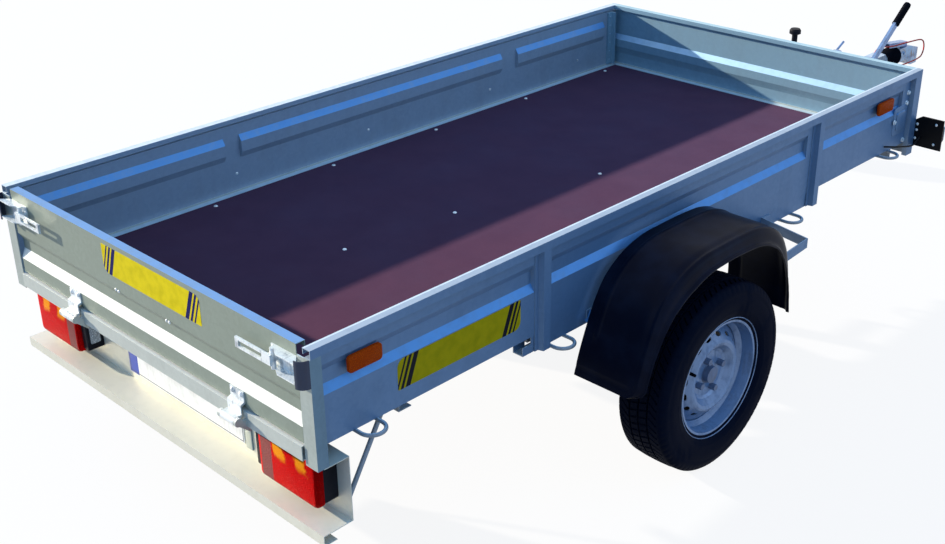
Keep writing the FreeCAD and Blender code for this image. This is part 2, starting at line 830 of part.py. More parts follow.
def tyre():
    """Return the right tyre as a turned solid with beads inside the rim flanges and rounded shoulders."""
    half = tyre_width / 2
    tread = half * tread_share
    gap = pattern_gap
    rise = tyre_radius - rim_flange_radius
    seat = rim_half_width - 2.5 * rim_sheet - gap
    heel = Vec(-seat, 0, bead_radius)
    root = Vec(-seat - rim_sheet / 2, 0, rim_flange_radius - rim_sheet + gap)
    lip = Vec(-rim_half_width - rim_sheet, 0, rim_flange_radius + 2 * rim_sheet)
    wide = Vec(-half, 0, rim_flange_radius + rise * sidewall_share)
    edge = Vec(-tread, 0, tyre_radius - rim_sheet)
    bulge = Vec(-half * bulge_shares[0], 0, rim_flange_radius + rise * bulge_shares[1])
    shoulder = Vec(-half * shoulder_shares[0], 0, tyre_radius - rise * shoulder_shares[1])
    left = [heel, root, lip, wide, edge]
    right = [Vec(-p.x, 0, p.z) for p in left]
    crown = Vec(0, 0, tyre_radius)
    edges = [Part.makeLine(left[0], left[1]), Part.makeLine(left[1], left[2])]
    edges += [Part.Arc(left[2], bulge, left[3]).toShape(), Part.Arc(left[3], shoulder, left[4]).toShape()]
    edges += [Part.Arc(left[4], crown, right[4]).toShape()]
    edges += [Part.Arc(right[4], Vec(-shoulder.x, 0, shoulder.z), right[3]).toShape()]
    edges += [Part.Arc(right[3], Vec(-bulge.x, 0, bulge.z), right[2]).toShape()]
    edges += [Part.makeLine(right[2], right[1]), Part.makeLine(right[1], right[0])]
    edges += [Part.makeLine(right[0], left[0])]
    section = Part.Face(Part.Wire(edges))
    solid = section.revolve(Vec(0, 0, 0), Vec(1, 0, 0), ring)
    return solid.translated(Vec(wheel_centre, axle_place, tyre_radius))


def rim_vent():
    """Return the cutter for the topmost vent of the rim's disc, a slot square to the disc's cone."""
    half = (vent_length - vent_width) / 2
    depth = disc_dish / 2
    ends = [rod(Vec(-depth, side * half, 0), Vec(depth, side * half, 0), vent_width / 2) for side in (-1, 1)]
    slot = joined(ends + [block(-depth, depth, -half, half, -vent_width / 2, vent_width / 2)])
    lean = slot.rotated(Vec(0, 0, 0), Vec(0, 1, 0), -ring / 8)
    return lean.translated(Vec(disc_face + disc_dish * disc_shares[2][0], 0, vent_circle))


def rim():
    """Return the right pressed rim: a dropped barrel and a dished disc with vents and bolt holes."""
    seat = bead_radius - pattern_gap
    flange = rim_flange_radius
    half = rim_half_width
    step = rim_sheet * 2
    well = rim_well_radius
    left, low, high, right = well_shares
    barrel = [(-half, flange), (-half + step, flange - rim_sheet), (-half + step + rim_sheet / 2, seat)]
    barrel += [(half * left, seat - rim_sheet), (half * low, well), (half * high, well),
               (half * right, seat - step)]
    barrel += [(half - step - rim_sheet / 2, seat), (half - step, flange - rim_sheet), (half, flange)]
    shell = turned(bent(barrel, -rim_sheet), (0, 0))
    edge = well - rim_sheet / 2
    disc = [(disc_face + disc_dish * rise, edge * reach) for rise, reach in disc_shares] + [(disc_face,
            hub_bore_radius)]
    plate = turned(bent(disc, -disc_sheet), (0, 0))
    body = joined([shell, plate])
    vent = rim_vent()
    for index in range(vent_count):
        body = body.cut(vent.rotated(Vec(0, 0, 0), Vec(1, 0, 0), ring / vent_count * (index + 0.5)))
    for index in range(bolt_count):
        angle = math.radians(ring / bolt_count * index + ring / 18)
        centre = Vec(-half, bolt_circle / 2 * math.cos(angle), bolt_circle / 2 * math.sin(angle))
        body = body.cut(Part.makeCylinder(bolt_head * bolt_shank_share, 2 * half + disc_face, centre,
                                          Vec(1, 0, 0)))
    return body.translated(Vec(wheel_centre, axle_place, tyre_radius))


def hub():
    """Return the right hub: brake drum, wheel bolts and dust cap, bored for the spindle."""
    face = disc_face - disc_sheet
    centre = (0, 0)
    drum = [(face - drum_depth, drum_radius), (face - drum_chamfer, drum_radius)]
    drum += [(face - rim_sheet * 2, bolt_circle * drum_face_share), (face, bolt_circle * drum_face_share),
             (face, 0),
             (face - drum_depth, 0)]
    solids = [turned(drum, centre)]
    cap = [(face, 0), (face, hub_bore_radius - pattern_gap), (face + disc_sheet,
                                                              hub_bore_radius - pattern_gap)]
    cap += [(face + disc_sheet, cap_radius), (face + cap_height, cap_radius),
            (face + cap_height + disc_sheet, 0)]
    solids.append(turned(cap, centre))
    for index in range(bolt_count):
        angle = math.radians(ring / bolt_count * index + ring / 18)
        place = Vec(face, bolt_circle / 2 * math.cos(angle), bolt_circle / 2 * math.sin(angle))
        shank = Part.makeCylinder(bolt_head * bolt_shank_share - pattern_gap, disc_sheet + overrun, place,
                                  Vec(1, 0, 0))
        turns = [math.radians(ring / bolt_corners * corner) for corner in range(bolt_corners)]
        corners = [place.add(Vec(disc_sheet, bolt_head * math.cos(turn), bolt_head * math.sin(turn)))
                   for turn in turns]
        head = face_of(corners).extrude(Vec(bolt_head_height, 0, 0))
        solids += [shank, head]
    body = joined(solids)
    inner = wheel_centre - tyre_width / 2 - arm_tyre_gap
    depth = spindle_length - (wheel_centre - inner) + spindle_gap
    bore = Part.makeCylinder(spindle_radius + spindle_gap, drum_depth + depth - face + overrun,
                             Vec(face - drum_depth - overrun, 0, 0), Vec(1, 0, 0))
    bore_end = depth + spindle_gap
    keep = block(bore_end, face + cap_height * 2, -drum_radius, drum_radius, -drum_radius, drum_radius)
    return body.cut(bore.cut(keep)).translated(Vec(wheel_centre, axle_place, tyre_radius))


def fender_path():
    """Return the wire that the fender's crown follows, in the plane of its inner edge."""
    rear = Vec(0, axle_place - fender_rear, fender_tail_height)
    rear_knee = Vec(0, axle_place - fender_rear_knee, fender_top_height)
    front_knee = Vec(0, axle_place + fender_front, fender_top_height)
    front = Vec(0, axle_place + fender_front, fender_tail_height)
    corners = [rear, rear_knee, front_knee, front]
    edges = []
    place = rear
    for index, radius in ((1, fender_rear_radius), (2, fender_front_radius)):
        corner = corners[index]
        back = corners[index - 1].sub(corner).normalize()
        ahead = corners[index + 1].sub(corner).normalize()
        half_turn = math.acos(-back.dot(ahead)) / 2
        tangent = radius * math.tan(half_turn)
        start = corner.add(Vec(back).multiply(tangent))
        end = corner.add(Vec(ahead).multiply(tangent))
        inward = back.add(ahead).normalize()
        middle = corner.add(Vec(inward).multiply(radius / math.cos(half_turn) - radius))
        edges.append(Part.makeLine(place, start))
        edges.append(Part.Arc(start, middle, end).toShape())
        place = end
    edges.append(Part.makeLine(place, front))
    return Part.Wire(edges)


def fender_section():
    """Return the fender's section as (x, outward) points: crown, two beads and rolled side."""
    bead = fender_bead
    wide = fender_bead_width
    side = fender_side_radius
    outer = fender_outer
    line = [(fender_inner, 0)]
    for share, lift in zip(fender_bead_shares, (0, bead, bead, 0)):
        line.append((fender_inner + wide * share, lift))
    for share, lift in zip(fender_outer_bead_shares, (0, bead, bead)):
        line.append((outer - side - wide * share, lift))
    for index in range(fender_side_steps + 1):
        angle = math.radians(ring / 4 * (1 - index / fender_side_steps))
        line.append((outer - side + side * math.cos(angle), -side + side * math.sin(angle)))
    line.append((outer, -side - fender_lip))
    return line


def fender():
    """Return the right fender, one moulded shell swept over the wheel."""
    path = fender_path()
    start = path.Edges[0].Vertexes[0].Point
    along = path.Edges[0].Vertexes[1].Point.sub(start).normalize()
    outward = Vec(0, -along.z, along.y)
    points = []
    for x, lift in bent(fender_section(), -fender_sheet):
        points.append(start.add(Vec(x, 0, 0)).add(Vec(outward).multiply(lift)))
    ring_wire = Part.makePolygon(points + [points[0]])
    return path.makePipeShell([ring_wire], True, False, 1)


def rear_leg_line(lift):
    """Return the (y, z) points where a stay crosses the fender's rear leg, moved outward by a lift."""
    run = fender_rear - fender_rear_knee
    climb = fender_top_height - fender_tail_height
    slope = math.hypot(run, climb)
    points = []
    for level in (sheet_bottom_height - stay_drop - stay_height, sheet_bottom_height - stay_drop):
        place = axle_place - fender_rear + run * (level - fender_tail_height) / climb
        points.append((place - lift * climb / slope, level + lift * run / slope))
    return points


def fender_stays():
    """Return the right fender's two stays, flat bars from the frame rail to the fender's legs."""
    rail = half_width - rail_inset
    top = sheet_bottom_height - stay_drop
    bottom = top - stay_height
    toe = axle_place + fender_front + fender_bead + pattern_gap + stay_sheet
    tip = stay_reach + stay_foot / 4
    plan = [(rail, front_stay_place + stay_foot), (rail, front_stay_place)]
    plan += [(stay_reach, front_stay_place - stay_skew), (tip, toe), (tip - stay_foot, toe)]
    front = along_z(bent(plan, stay_sheet), bottom, top)
    seat = rear_leg_line(-fender_sheet - pattern_gap)
    strip = along_x(bent(seat, -stay_sheet), rail, stay_reach)
    ahead = seat[0][0] + stay_sheet
    pad = block(rail, rail + stay_sheet, ahead, ahead + stay_foot, bottom, top)
    return [front, joined([strip, pad])]


def light_bar():
    """Return the rear light bar: top flange, web, wide shelf and rolled rear lip."""
    top = sheet_bottom_height - post_drop
    web = bar_web_place
    shelf = top - bar_drop
    rear = bar_shelf_rear
    line = [(web - bar_flange, top), (web, top), (web, shelf), (rear, shelf), (rear, shelf - bar_lip)]
    line += [(rear + bar_hem, shelf - bar_lip)]
    return along_x(bent(line, -bar_sheet), -half_width, half_width)


def light_bar_stay():
    """Return the right stay rod from the side sheet's flange down to the light bar."""
    x = half_width - stay_rod_inset
    top = Vec(x, stay_rod_top, sheet_bottom_height)
    foot = Vec(x, bar_web_place + stay_rod_radius, sheet_bottom_height - post_drop - bar_drop + stay_rod_foot)
    pad = block(x - 2 * stay_rod_radius, x + 2 * stay_rod_radius, bar_web_place, bar_web_place + post_sheet,
                foot.z - 2 * stay_rod_radius, foot.z + 2 * stay_rod_radius)
    bar = rod(foot, top, stay_rod_radius)
    above = block(x - bar_flange, x + bar_flange, 0, stay_rod_top + bar_flange, sheet_bottom_height,
                  rim_height)
    return joined([bar.cut(above), pad])


def tail_lamp():
    """Return the right tail lamp, a rounded housing seated on the light bar's web."""
    top = sheet_bottom_height - post_drop - lamp_top_gap
    web = bar_web_place - bar_sheet
    shape = block(lamp_inner, lamp_outer, web - lamp_depth, web, top - lamp_height, top)
    return shape.makeFillet(lamp_corner, deep_edges(shape))


def plate_lamp():
    """Return the right plate lamp housing beside the tail lamp."""
    top = sheet_bottom_height - post_drop - lamp_top_gap - lamp_corner
    web = bar_web_place - bar_sheet
    outer = lamp_inner - pattern_gap
    return block(outer - plate_lamp_width, outer, web - lamp_depth * plate_lamp_share, web,
                 top - plate_lamp_height, top)


def number_plate():
    """Return the blank number plate on the light bar's web."""
    top = sheet_bottom_height - post_drop - plate_top_gap
    web = bar_web_place - bar_sheet
    left = plate_offset - plate_length / 2
    return block(left, left + plate_length, web - plate_sheet, web, top - plate_height, top)


def reflectors():
    """Return the amber reflectors of the right side, seated on the swage's flat and slope."""
    low = reflector_centre - reflector_height / 2
    high = low + reflector_height
    flat = sheet_out - swage_depth
    bend = side_swage_top - swage_shoulder
    lean = flat + swage_depth * (high - bend) / swage_shoulder
    face = sheet_out + reflector_depth
    section = [(flat, low), (flat, bend), (lean, high), (face, high), (face, low)]
    section = [(x, z + sheet_bottom_height) for x, z in section]
    half = reflector_length / 2
    return [along_y(section, place - half, place + half) for place in reflector_places]


def rope_hook(place, level):
    """Return one round-bar loop under the right side, lying nearly flat."""
    half = hook_width / 2
    inner = half_width - rail_inset
    tip = inner + hook_reach
    a = Vec(inner - hook_foot, place - half, level)
    b = Vec(tip - half, place - half, level)
    c = Vec(tip, place, level)
    d = Vec(tip - half, place + half, level)
    e = Vec(inner - hook_foot, place + half, level)
    path = Part.Wire([Part.makeLine(a, b), Part.Arc(b, c, d).toShape(), Part.makeLine(d, e)])
    section = Part.Wire([Part.Circle(a, Vec(1, 0, 0), hook_rod_radius).toShape()])
    return path.makePipeShell([section], True, False)


def rope_hooks():
    """Return the rope hooks of the right side."""
    hooks = []
    for place in hook_places:
        under_rail = mid_post_rear < place < mid_post_front
        level = sheet_bottom_height - (rail_height if under_rail else 0) - hook_rod_radius
        hooks.append(rope_hook(place, level))
    return hooks


def marker_bracket():
    """Return the right front bracket that carries the marker lamp out beside the box."""
    top = sheet_bottom_height + marker_bracket_top
    low = top - marker_bracket_height
    outer = marker_bracket_outer
    inner = outer - marker_bracket_width
    across, down = marker_bracket_cut
    line = [(inner, top - down), (inner + across, top), (outer, top), (outer, low),
            (inner + marker_bracket_heel, low)]
    section = face_of([Vec(x, box_length, z) for x, z in line])
    return section.extrude(Vec(0, marker_bracket_sheet, 0))


def marker_lamp():
    """Return the right marker lamp on the front of its bracket."""
    front = box_length + marker_bracket_sheet
    centre = sheet_bottom_height + marker_bracket_top - marker_bracket_height / 2
    right = marker_bracket_outer - overrun
    shape = block(right - marker_lamp_width, right, front, front + marker_lamp_depth,
                  centre - marker_lamp_height / 2, centre + marker_lamp_height / 2)
    return shape.makeFillet(overrun, deep_edges(shape))


def coupling_body():
    """Return the overrun housing between the drawbar tubes, with its sliding shaft."""
    low = coupling_height - coupling_body_height / 2
    high = coupling_height + coupling_body_height / 2
    shell = block(-coupling_half_width + drawbar_wall * 4, coupling_half_width - drawbar_wall * 4,
                  coupling_rear,
                  coupling_front, low, high)
    plate = block(-coupling_plate_half, coupling_plate_half, coupling_rear, drawbar_front_place, drawbar_top,
                  drawbar_top + coupling_wall)
    web = block(-coupling_half_width / 2, coupling_half_width / 2, coupling_rear, drawbar_front_place, high,
                drawbar_top)
    nose = Part.makeCylinder(coupling_body_height * nose_share, bellows_rear - coupling_front,
                             Vec(0, coupling_front, coupling_height), Vec(0, 1, 0))
    shaft = Part.makeCylinder(shaft_radius, head_rear - bellows_rear, Vec(0, bellows_rear, coupling_height),
                              Vec(0, 1, 0))
    return joined([shell, web, plate, nose, shaft])


def bellows():
    """Return the pleated rubber bellows round the coupling's shaft."""
    pitch = (bellows_front - bellows_rear) / bellows_folds
    points = [(bellows_rear, shaft_radius)]
    for index in range(bellows_folds):
        start = bellows_rear + pitch * index
        points += [(start, bellows_radius * bellows_root_share), (start + pitch / 2, bellows_radius)]
    points += [(bellows_front, bellows_radius * bellows_root_share), (bellows_front, shaft_radius)]
    section = face_of([Vec(0, y, radius) for y, radius in points])
    return section.revolve(Vec(0, 0, 0), Vec(0, 1, 0), ring).translated(Vec(0, 0, coupling_height))


def coupling_head():
    """Return the ball coupling head: a pressed hood with a socket for the ball and a lug for the handle."""
    half = head_half_width
    neck = neck_half_width
    cheek = half - ball_radius / 5
    plan = [(-neck, head_rear), (neck, head_rear), (neck, ball_place - 2 * half), (half, ball_place - half)]
    plan += [(half, ball_place + half / 2), (cheek / 2, head_front), (-cheek / 2, head_front)]
    plan += [(-half, ball_place + half / 2), (-half, ball_place - half), (-neck, ball_place - 2 * half)]
    side = [(head_rear, head_neck_height), (ball_place - 2 * half, head_neck_height), (ball_place - half,
            head_bottom_height)]
    side += [(head_front, head_bottom_height), (head_front, head_nose_height), (ball_place + half / 2,
            head_top_height - half / 2)]
    side += [(handle_front + handle_lug, head_top_height), (head_rear, head_top_height)]
    hood = along_z(plan, head_bottom_height, head_top_height).common(along_x(side, -half, half))
    ball = Vec(0, ball_place, ball_height)
    socket = Part.makeSphere(ball_radius + socket_gap, ball)
    mouth = Part.makeCylinder(ball_radius + socket_gap, ball.z - head_bottom_height + overrun,
                              Vec(0, ball_place, head_bottom_height - overrun))
    pin = Vec(-half, handle_front - 2 * handle_lug, head_top_height + handle_lug)
    inner = handle_half_width - handle_sheet - socket_gap
    lug = block(-inner, inner, pin.y - handle_lug, pin.y + handle_lug, head_top_height - handle_sheet,
                pin.z + handle_pin_radius)
    bore = Part.makeCylinder(handle_pin_radius + pattern_gap, 2 * half, pin, Vec(1, 0, 0))
    return joined([hood, lug]).cut(socket).cut(mouth).cut(bore)


def coupling_handle():
    """Return the coupling's lifting handle, a channel open below and pinned to the head's lug."""
    low = head_top_height
    top = low + handle_depth
    rear = handle_front - handle_length
    outline = [(rear, low + handle_rise), (rear, top + handle_rise), (handle_front, top), (handle_front, low)]
    inside = [(y, z - handle_sheet) for y, z in outline]
    half = handle_half_width
    shell = along_x(outline, -half, half).cut(along_x(inside, handle_sheet - half, half - handle_sheet))
    pin = Vec(-half, handle_front - 2 * handle_lug, low + handle_lug)
    return joined([shell, Part.makeCylinder(handle_pin_radius, 2 * half, pin, Vec(1, 0, 0))])


def lever_point(distance):
    """Return the point at a distance along the handbrake lever from its pivot."""
    angle = math.radians(lever_angle)
    return Vec(lever_place[0], lever_place[1] + distance * math.cos(angle),
               lever_pivot_height + distance * math.sin(angle))


def handbrake_lever():
    """Return the handbrake lever, a folded bar on its pivot beside the coupling housing."""
    angle = math.radians(lever_angle)
    side = Vec(0, -math.sin(angle), math.cos(angle)).multiply(lever_bar_width / 2)
    start = lever_point(0)
    end = lever_point(lever_total - grip_length * grip_socket_share)
    flat = face_of([start.add(side), end.add(side), end.sub(side), start.sub(side)])
    bar = flat.extrude(Vec(lever_bar_thickness, 0, 0))
    boss = Part.makeCylinder(lever_bar_width * lever_boss_share, lever_bar_thickness, start, Vec(1, 0, 0))
    pin = Part.makeCylinder(lever_bar_width * lever_pin_share,
                            lever_place[0] - coupling_half_width + drawbar_wall * 4,
                            Vec(coupling_half_width - drawbar_wall * 4, start.y, start.z), Vec(1, 0, 0))
    return joined([bar, boss, pin])


def handbrake_grip():
    """Return the rubber grip on the end of the handbrake lever."""
    middle = Vec(lever_bar_thickness / 2, 0, 0)
    start = lever_point(lever_total - grip_length).add(middle)
    end = lever_point(lever_total).add(middle)
    grip = rod(start, end, grip_radius)
    angle = math.radians(lever_angle)
    side = Vec(0, -math.sin(angle), math.cos(angle)).multiply(lever_bar_width / 2)
    inner = lever_point(lever_total - 2 * grip_length)
    tip = lever_point(lever_total - grip_length * grip_socket_share)
    flat = face_of([inner.add(side), tip.add(side), tip.sub(side), inner.sub(side)])
    return grip.cut(flat.extrude(Vec(lever_bar_thickness, 0, 0)))


def jockey_clamp():
    """Return the clamp that holds the jockey tube beside the coupling housing."""
    x, y = jockey_place
    centre = coupling_height - clamp_drop
    outer = jockey_tube_radius + clamp_gap + clamp_wall
    collar = Part.makeCylinder(outer, clamp_height, Vec(x, y, centre - clamp_height / 2))
    bore = Part.makeCylinder(jockey_tube_radius + clamp_gap, 2 * clamp_height, Vec(x, y,
            centre - clamp_height))
    side = -(coupling_half_width - drawbar_wall * 4)
    arm = block(x + jockey_tube_radius, side, y - clamp_height / 2, y + clamp_height / 2,
                centre - clamp_height / 2,
                centre + clamp_height / 2)
    lug = block(x - outer - clamp_wall * 2, x, y - clamp_wall, y + clamp_wall, centre - clamp_height / 3,
                centre + clamp_height / 3)
    screw = Vec(x - outer - clamp_wall, y, centre)
    handle = rod(screw, Vec(screw.x - clamp_wall, y + clamp_handle_length, centre + clamp_height),
                 clamp_handle_radius)
    return joined([joined([collar, arm, lug]).cut(bore), handle.cut(bore)])


def jockey_tube():
    """Return the jockey wheel's outer tube and its stem, which slide in the clamp."""
    x, y = jockey_place
    tube = Part.makeCylinder(jockey_tube_radius, jockey_tube_top - jockey_tube_bottom, Vec(x, y,
            jockey_tube_bottom))
    stem = Part.makeCylinder(jockey_stem_radius,
                             jockey_tube_bottom - jockey_fork_height + jockey_turn_gap * 2,
                             Vec(x, y, jockey_fork_height - jockey_turn_gap * 2))
    return joined([tube, stem])


def crank_tip():
    """Return the point where the crank arm's centre line meets the knob's pin."""
    x, y = jockey_place
    angle = math.radians(crank_angle)
    return Vec(x + crank_radius * math.cos(angle), y + crank_radius * math.sin(angle),
               jockey_tube_top + crank_boss_height / 2)


def jockey_crank():
    """Return the crank arm on top of the jockey tube, with the pin that carries its knob."""
    x, y = jockey_place
    tip = crank_tip()
    solids = []
    for place, radius in ((Vec(x, y, tip.z), jockey_tube_radius - jockey_tube_wall), (tip,
            crank_boss_radius)):
        base = place.sub(Vec(0, 0, crank_boss_height / 2))
        solids.append(Part.makeCylinder(radius, crank_boss_height, base))
    solids.append(rod(Vec(x, y, tip.z), tip, crank_bar_radius))
    solids.append(Part.makeCylinder(crank_pin_radius, crank_boss_height + knob_height / 2, tip))
    return joined(solids)


def jockey_knob():
    """Return the plastic knob on the end of the crank arm."""
    base = crank_tip().add(Vec(0, 0, crank_boss_height / 2))
    points = [(0, 0)] + [(knob_radius * wide, knob_height * rise) for wide, rise in knob_shares] + [(0,
            knob_height)]
    solid = face_of([Vec(radius, 0, z) for radius, z in points]).revolve(Vec(0, 0, 0), Vec(0, 0, 1), ring)
    pin = Part.makeCylinder(crank_pin_radius, crank_boss_height + knob_height / 2, crank_tip())
    return solid.translated(base).cut(pin)


def jockey_fork():
    """Return the swivelling fork with the wheel's axle across it."""
    x, y = jockey_place
    half = jockey_wheel_width / 2 + jockey_fork_gap
    wheel_y = y - jockey_trail
    top = jockey_fork_height
    width = jockey_tube_radius
    crown = jockey_fork_sheet * fork_crown_share
    plate = block(x - half - jockey_fork_sheet, x + half + jockey_fork_sheet, y - width * fork_rear_share,
                  y + width, top - crown, top)
    cheeks = []
    for side in (-1, 1):
        x0 = x + side * half
        x1 = x0 + side * jockey_fork_sheet
        shape = [(y - width * fork_rear_share, top), (y + width, top),
                 (wheel_y + width * fork_tip_shares[0], jockey_wheel_radius)]
        shape += [(wheel_y, jockey_wheel_radius - width * fork_tip_shares[1]),
                  (wheel_y - width * fork_tip_shares[0], jockey_wheel_radius)]
        cheeks.append(along_x(shape, x0, x1))
    axle = Part.makeCylinder(jockey_axle_radius, 2 * (half + jockey_fork_sheet * 2),
                             Vec(x - half - jockey_fork_sheet * 2, wheel_y, jockey_wheel_radius), Vec(1, 0,
                                     0))
    body = joined([plate] + cheeks + [axle])
    bore = Part.makeCylinder(jockey_stem_radius + jockey_stem_gap, 3 * jockey_turn_gap + top, Vec(x, y, 0))
    wheel_space = Part.makeCylinder(jockey_wheel_radius, jockey_wheel_width, Vec(x - jockey_wheel_width / 2,
            wheel_y,
                                    jockey_wheel_radius), Vec(1, 0, 0))
    return body.cut(bore.cut(wheel_space))


def jockey_wheel():
    """Return the jockey wheel, a solid tyre on a plain hub."""
    x, y = jockey_place
    half = jockey_wheel_width / 2
    bore = jockey_axle_radius + jockey_axle_gap
    round_off = jockey_wheel_width / 5
    points = [(-half, bore), (-half, jockey_wheel_radius - round_off), (-half + round_off,
            jockey_wheel_radius)]
    points += [(half - round_off, jockey_wheel_radius), (half, jockey_wheel_radius - round_off), (half, bore)]
    return turned(points, (y - jockey_trail, jockey_wheel_radius)).translated(Vec(x, 0, 0))


def cord_tube(route, radius):
    """Return a cord along straight runs joined by tangent arcs, with its arc radii and length."""
    edges = []
    radii = []
    place = route[0]
    for index in range(1, len(route) - 1):
        corner = route[index]
        back = route[index - 1].sub(corner)
        ahead = route[index + 1].sub(corner)
        shorter = min(back.Length, ahead.Length)
        back.normalize()
        ahead.normalize()
        half_turn = math.acos(max(-1.0, min(1.0, -back.dot(ahead)))) / 2
        tangent = cord_bend_share * shorter
        bend = tangent / math.tan(half_turn)
        radii.append(bend)
        start = corner.add(Vec(back).multiply(tangent))
        end = corner.add(Vec(ahead).multiply(tangent))
        inward = back.add(ahead).normalize()
        middle = corner.add(Vec(inward).multiply(bend / math.cos(half_turn) - bend))
        edges.append(Part.makeLine(place, start))
        edges.append(Part.Arc(start, middle, end).toShape())
        place = end
    edges.append(Part.makeLine(place, route[-1]))
    path = Part.Wire(edges)
    section = Part.Wire([Part.Circle(route[0], route[1].sub(route[0]), radius).toShape()])
    return path.makePipeShell([section], True, False), radii, path.Length


breakaway_route = [
    Vec(14, 3562, 485.7), Vec(14, 3565, 502), Vec(15, 3576, 516), Vec(17, 3594, 524), Vec(20, 3624, 523),
    Vec(24, 3668, 512), Vec(27, 3722, 507), Vec(30, 3776, 505), Vec(34, 3828, 502), Vec(38, 3878, 500),
    Vec(42, 3925, 496), Vec(44, 3947, 485), Vec(45, 3958, 463), Vec(47, 3953, 438), Vec(49, 3935, 421),
    Vec(52, 3911, 418), Vec(57, 3868, 419), Vec(60, 3812, 421), Vec(61, 3752, 424), Vec(60, 3696, 427),
    Vec(59, 3642, 428), Vec(56, 3594, 428), Vec(50, 3556, 429), Vec(40, 3530, 430), Vec(30.1, 3516, 430),
]

marker_route = [
    Vec(655.8, 2460, 549), Vec(666, 2471, 548.5), Vec(676, 2484, 547), Vec(684, 2502, 544.5), Vec(689, 2525,
            540),
    Vec(691, 2552, 534),
    Vec(692, 2580, 528), Vec(692, 2602, 527), Vec(692, 2620, 533), Vec(692, 2634, 542), Vec(692, 2639, 544),
]


def build():
    """Return every node of the trailer by name, in the building axes."""
    nodes = {}
    nodes["side_wall_right"] = side_wall()
    nodes["side_wall_left"] = mirrored(nodes["side_wall_right"])
    nodes["front_wall"] = front_wall()
    nodes["rear_posts"] = both_sides(rear_post())
    nodes["front_posts"] = both_sides(front_post())
    posts = [mid_post(mid_post_rear), mid_post(mid_post_front)]
    nodes["mid_posts"] = Part.makeCompound(posts + [mirrored(post) for post in posts])
    nodes["floor_panel"] = floor_panel()
    nodes["floor_angles"] = floor_angles()
    nodes["frame_rail_right"] = frame_rail()
    nodes["frame_rail_left"] = mirrored(nodes["frame_rail_right"])
    nodes["crossmembers"] = crossmembers()
    nodes["front_beam"] = front_beam()
    nodes["hinge_beam"] = hinge_beam()
    nodes["drawbar_right"] = drawbar()
    nodes["drawbar_left"] = mirrored(nodes["drawbar_right"])
    nodes["axle_beam"] = axle_beam()
    nodes["swing_arms"] = both_sides(swing_arm())
    nodes["brake_plates"] = both_sides(brake_plate())
    nodes["tyre_right"] = tyre()
    nodes["rim_right"] = rim()
    nodes["hub_right"] = hub()
    for name in ("tyre", "rim", "hub"):
        nodes[name + "_left"] = mirrored(nodes[name + "_right"])
    nodes["fender_right"] = fender()
    nodes["fender_left"] = mirrored(nodes["fender_right"])
    stays = fender_stays()
    nodes["fender_stays"] = Part.makeCompound(stays + [mirrored(stay) for stay in stays])
    nodes["light_bar"] = light_bar()
    nodes["light_bar_stays"] = both_sides(light_bar_stay())
    nodes["tail_lamp_right"] = tail_lamp()
    nodes["tail_lamp_left"] = mirrored(nodes["tail_lamp_right"])
    nodes["plate_lamps"] = both_sides(plate_lamp())
    nodes["number_plate"] = number_plate()
    lenses = reflectors()
    nodes["side_reflectors"] = Part.makeCompound(lenses + [mirrored(lens) for lens in lenses])
    hooks = rope_hooks()
    nodes["rope_hooks_right"] = Part.makeCompound(hooks)
    nodes["rope_hooks_left"] = Part.makeCompound([mirrored(hook) for hook in hooks])
    nodes["tailgate_panel"] = tailgate_panel()
    nodes["tailgate_hinges"] = tailgate_hinges()
    nodes["tailgate_latches"] = both_sides(tailgate_latch())
    nodes["latch_keepers"] = both_sides(latch_keeper())
    nodes["marker_brackets"] = both_sides(marker_bracket())
    nodes["marker_lamps"] = both_sides(marker_lamp())
    nodes["coupling_body"] = coupling_body()
    nodes["bellows"] = bellows()
    nodes["coupling_head"] = coupling_head()
    nodes["coupling_handle"] = coupling_handle()
    nodes["handbrake_lever"] = handbrake_lever()
    nodes["handbrake_grip"] = handbrake_grip()
    nodes["jockey_clamp"] = jockey_clamp()
    nodes["jockey_tube"] = jockey_tube()
    nodes["jockey_crank"] = jockey_crank()
    nodes["jockey_knob"] = jockey_knob()
    nodes["jockey_fork"] = jockey_fork()
    nodes["jockey_wheel"] = jockey_wheel()
    cords = (("breakaway_cable", breakaway_route, breakaway_radius),
             ("marker_cord", marker_route, marker_cord_radius))
    for name, route, radius in cords:
        tube, radii, length = cord_tube(route, radius)
        nodes[name] = tube
        print(name, "length", round(length, 1), "volume share",
              round(tube.Volume / (math.pi * radius ** 2 * length), 4), "radii", [round(r) for r in radii])
    return nodes


def export(nodes):
    """Move every node so that the origin lies under the middle of the trailer, and write the files."""
    rearmost = -hinge_stand_off - hinge_eye_radius
    middle = (rearmost + head_front) / 2
    print("origin at", middle)
    for name, shape in nodes.items():
        if not shape.isValid():
            print("not valid:", name)
        shape.translated(Vec(0, -middle, 0)).exportStep("parts/" + name + ".step")


export(build())
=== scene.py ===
"""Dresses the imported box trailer: its finishes, its finer lamps, tyres and rubber parts, its cords and a stage.

Lengths are in metres in the frame's axes: +X to the trailer's right, +Y forward and +Z up.
"""

import bisect
import logging
import math
from dataclasses import dataclass, field
from enum import Enum
from functools import cache
from typing import Sequence

import bmesh
import bpy
import numpy as np
from mathutils import Matrix, Vector


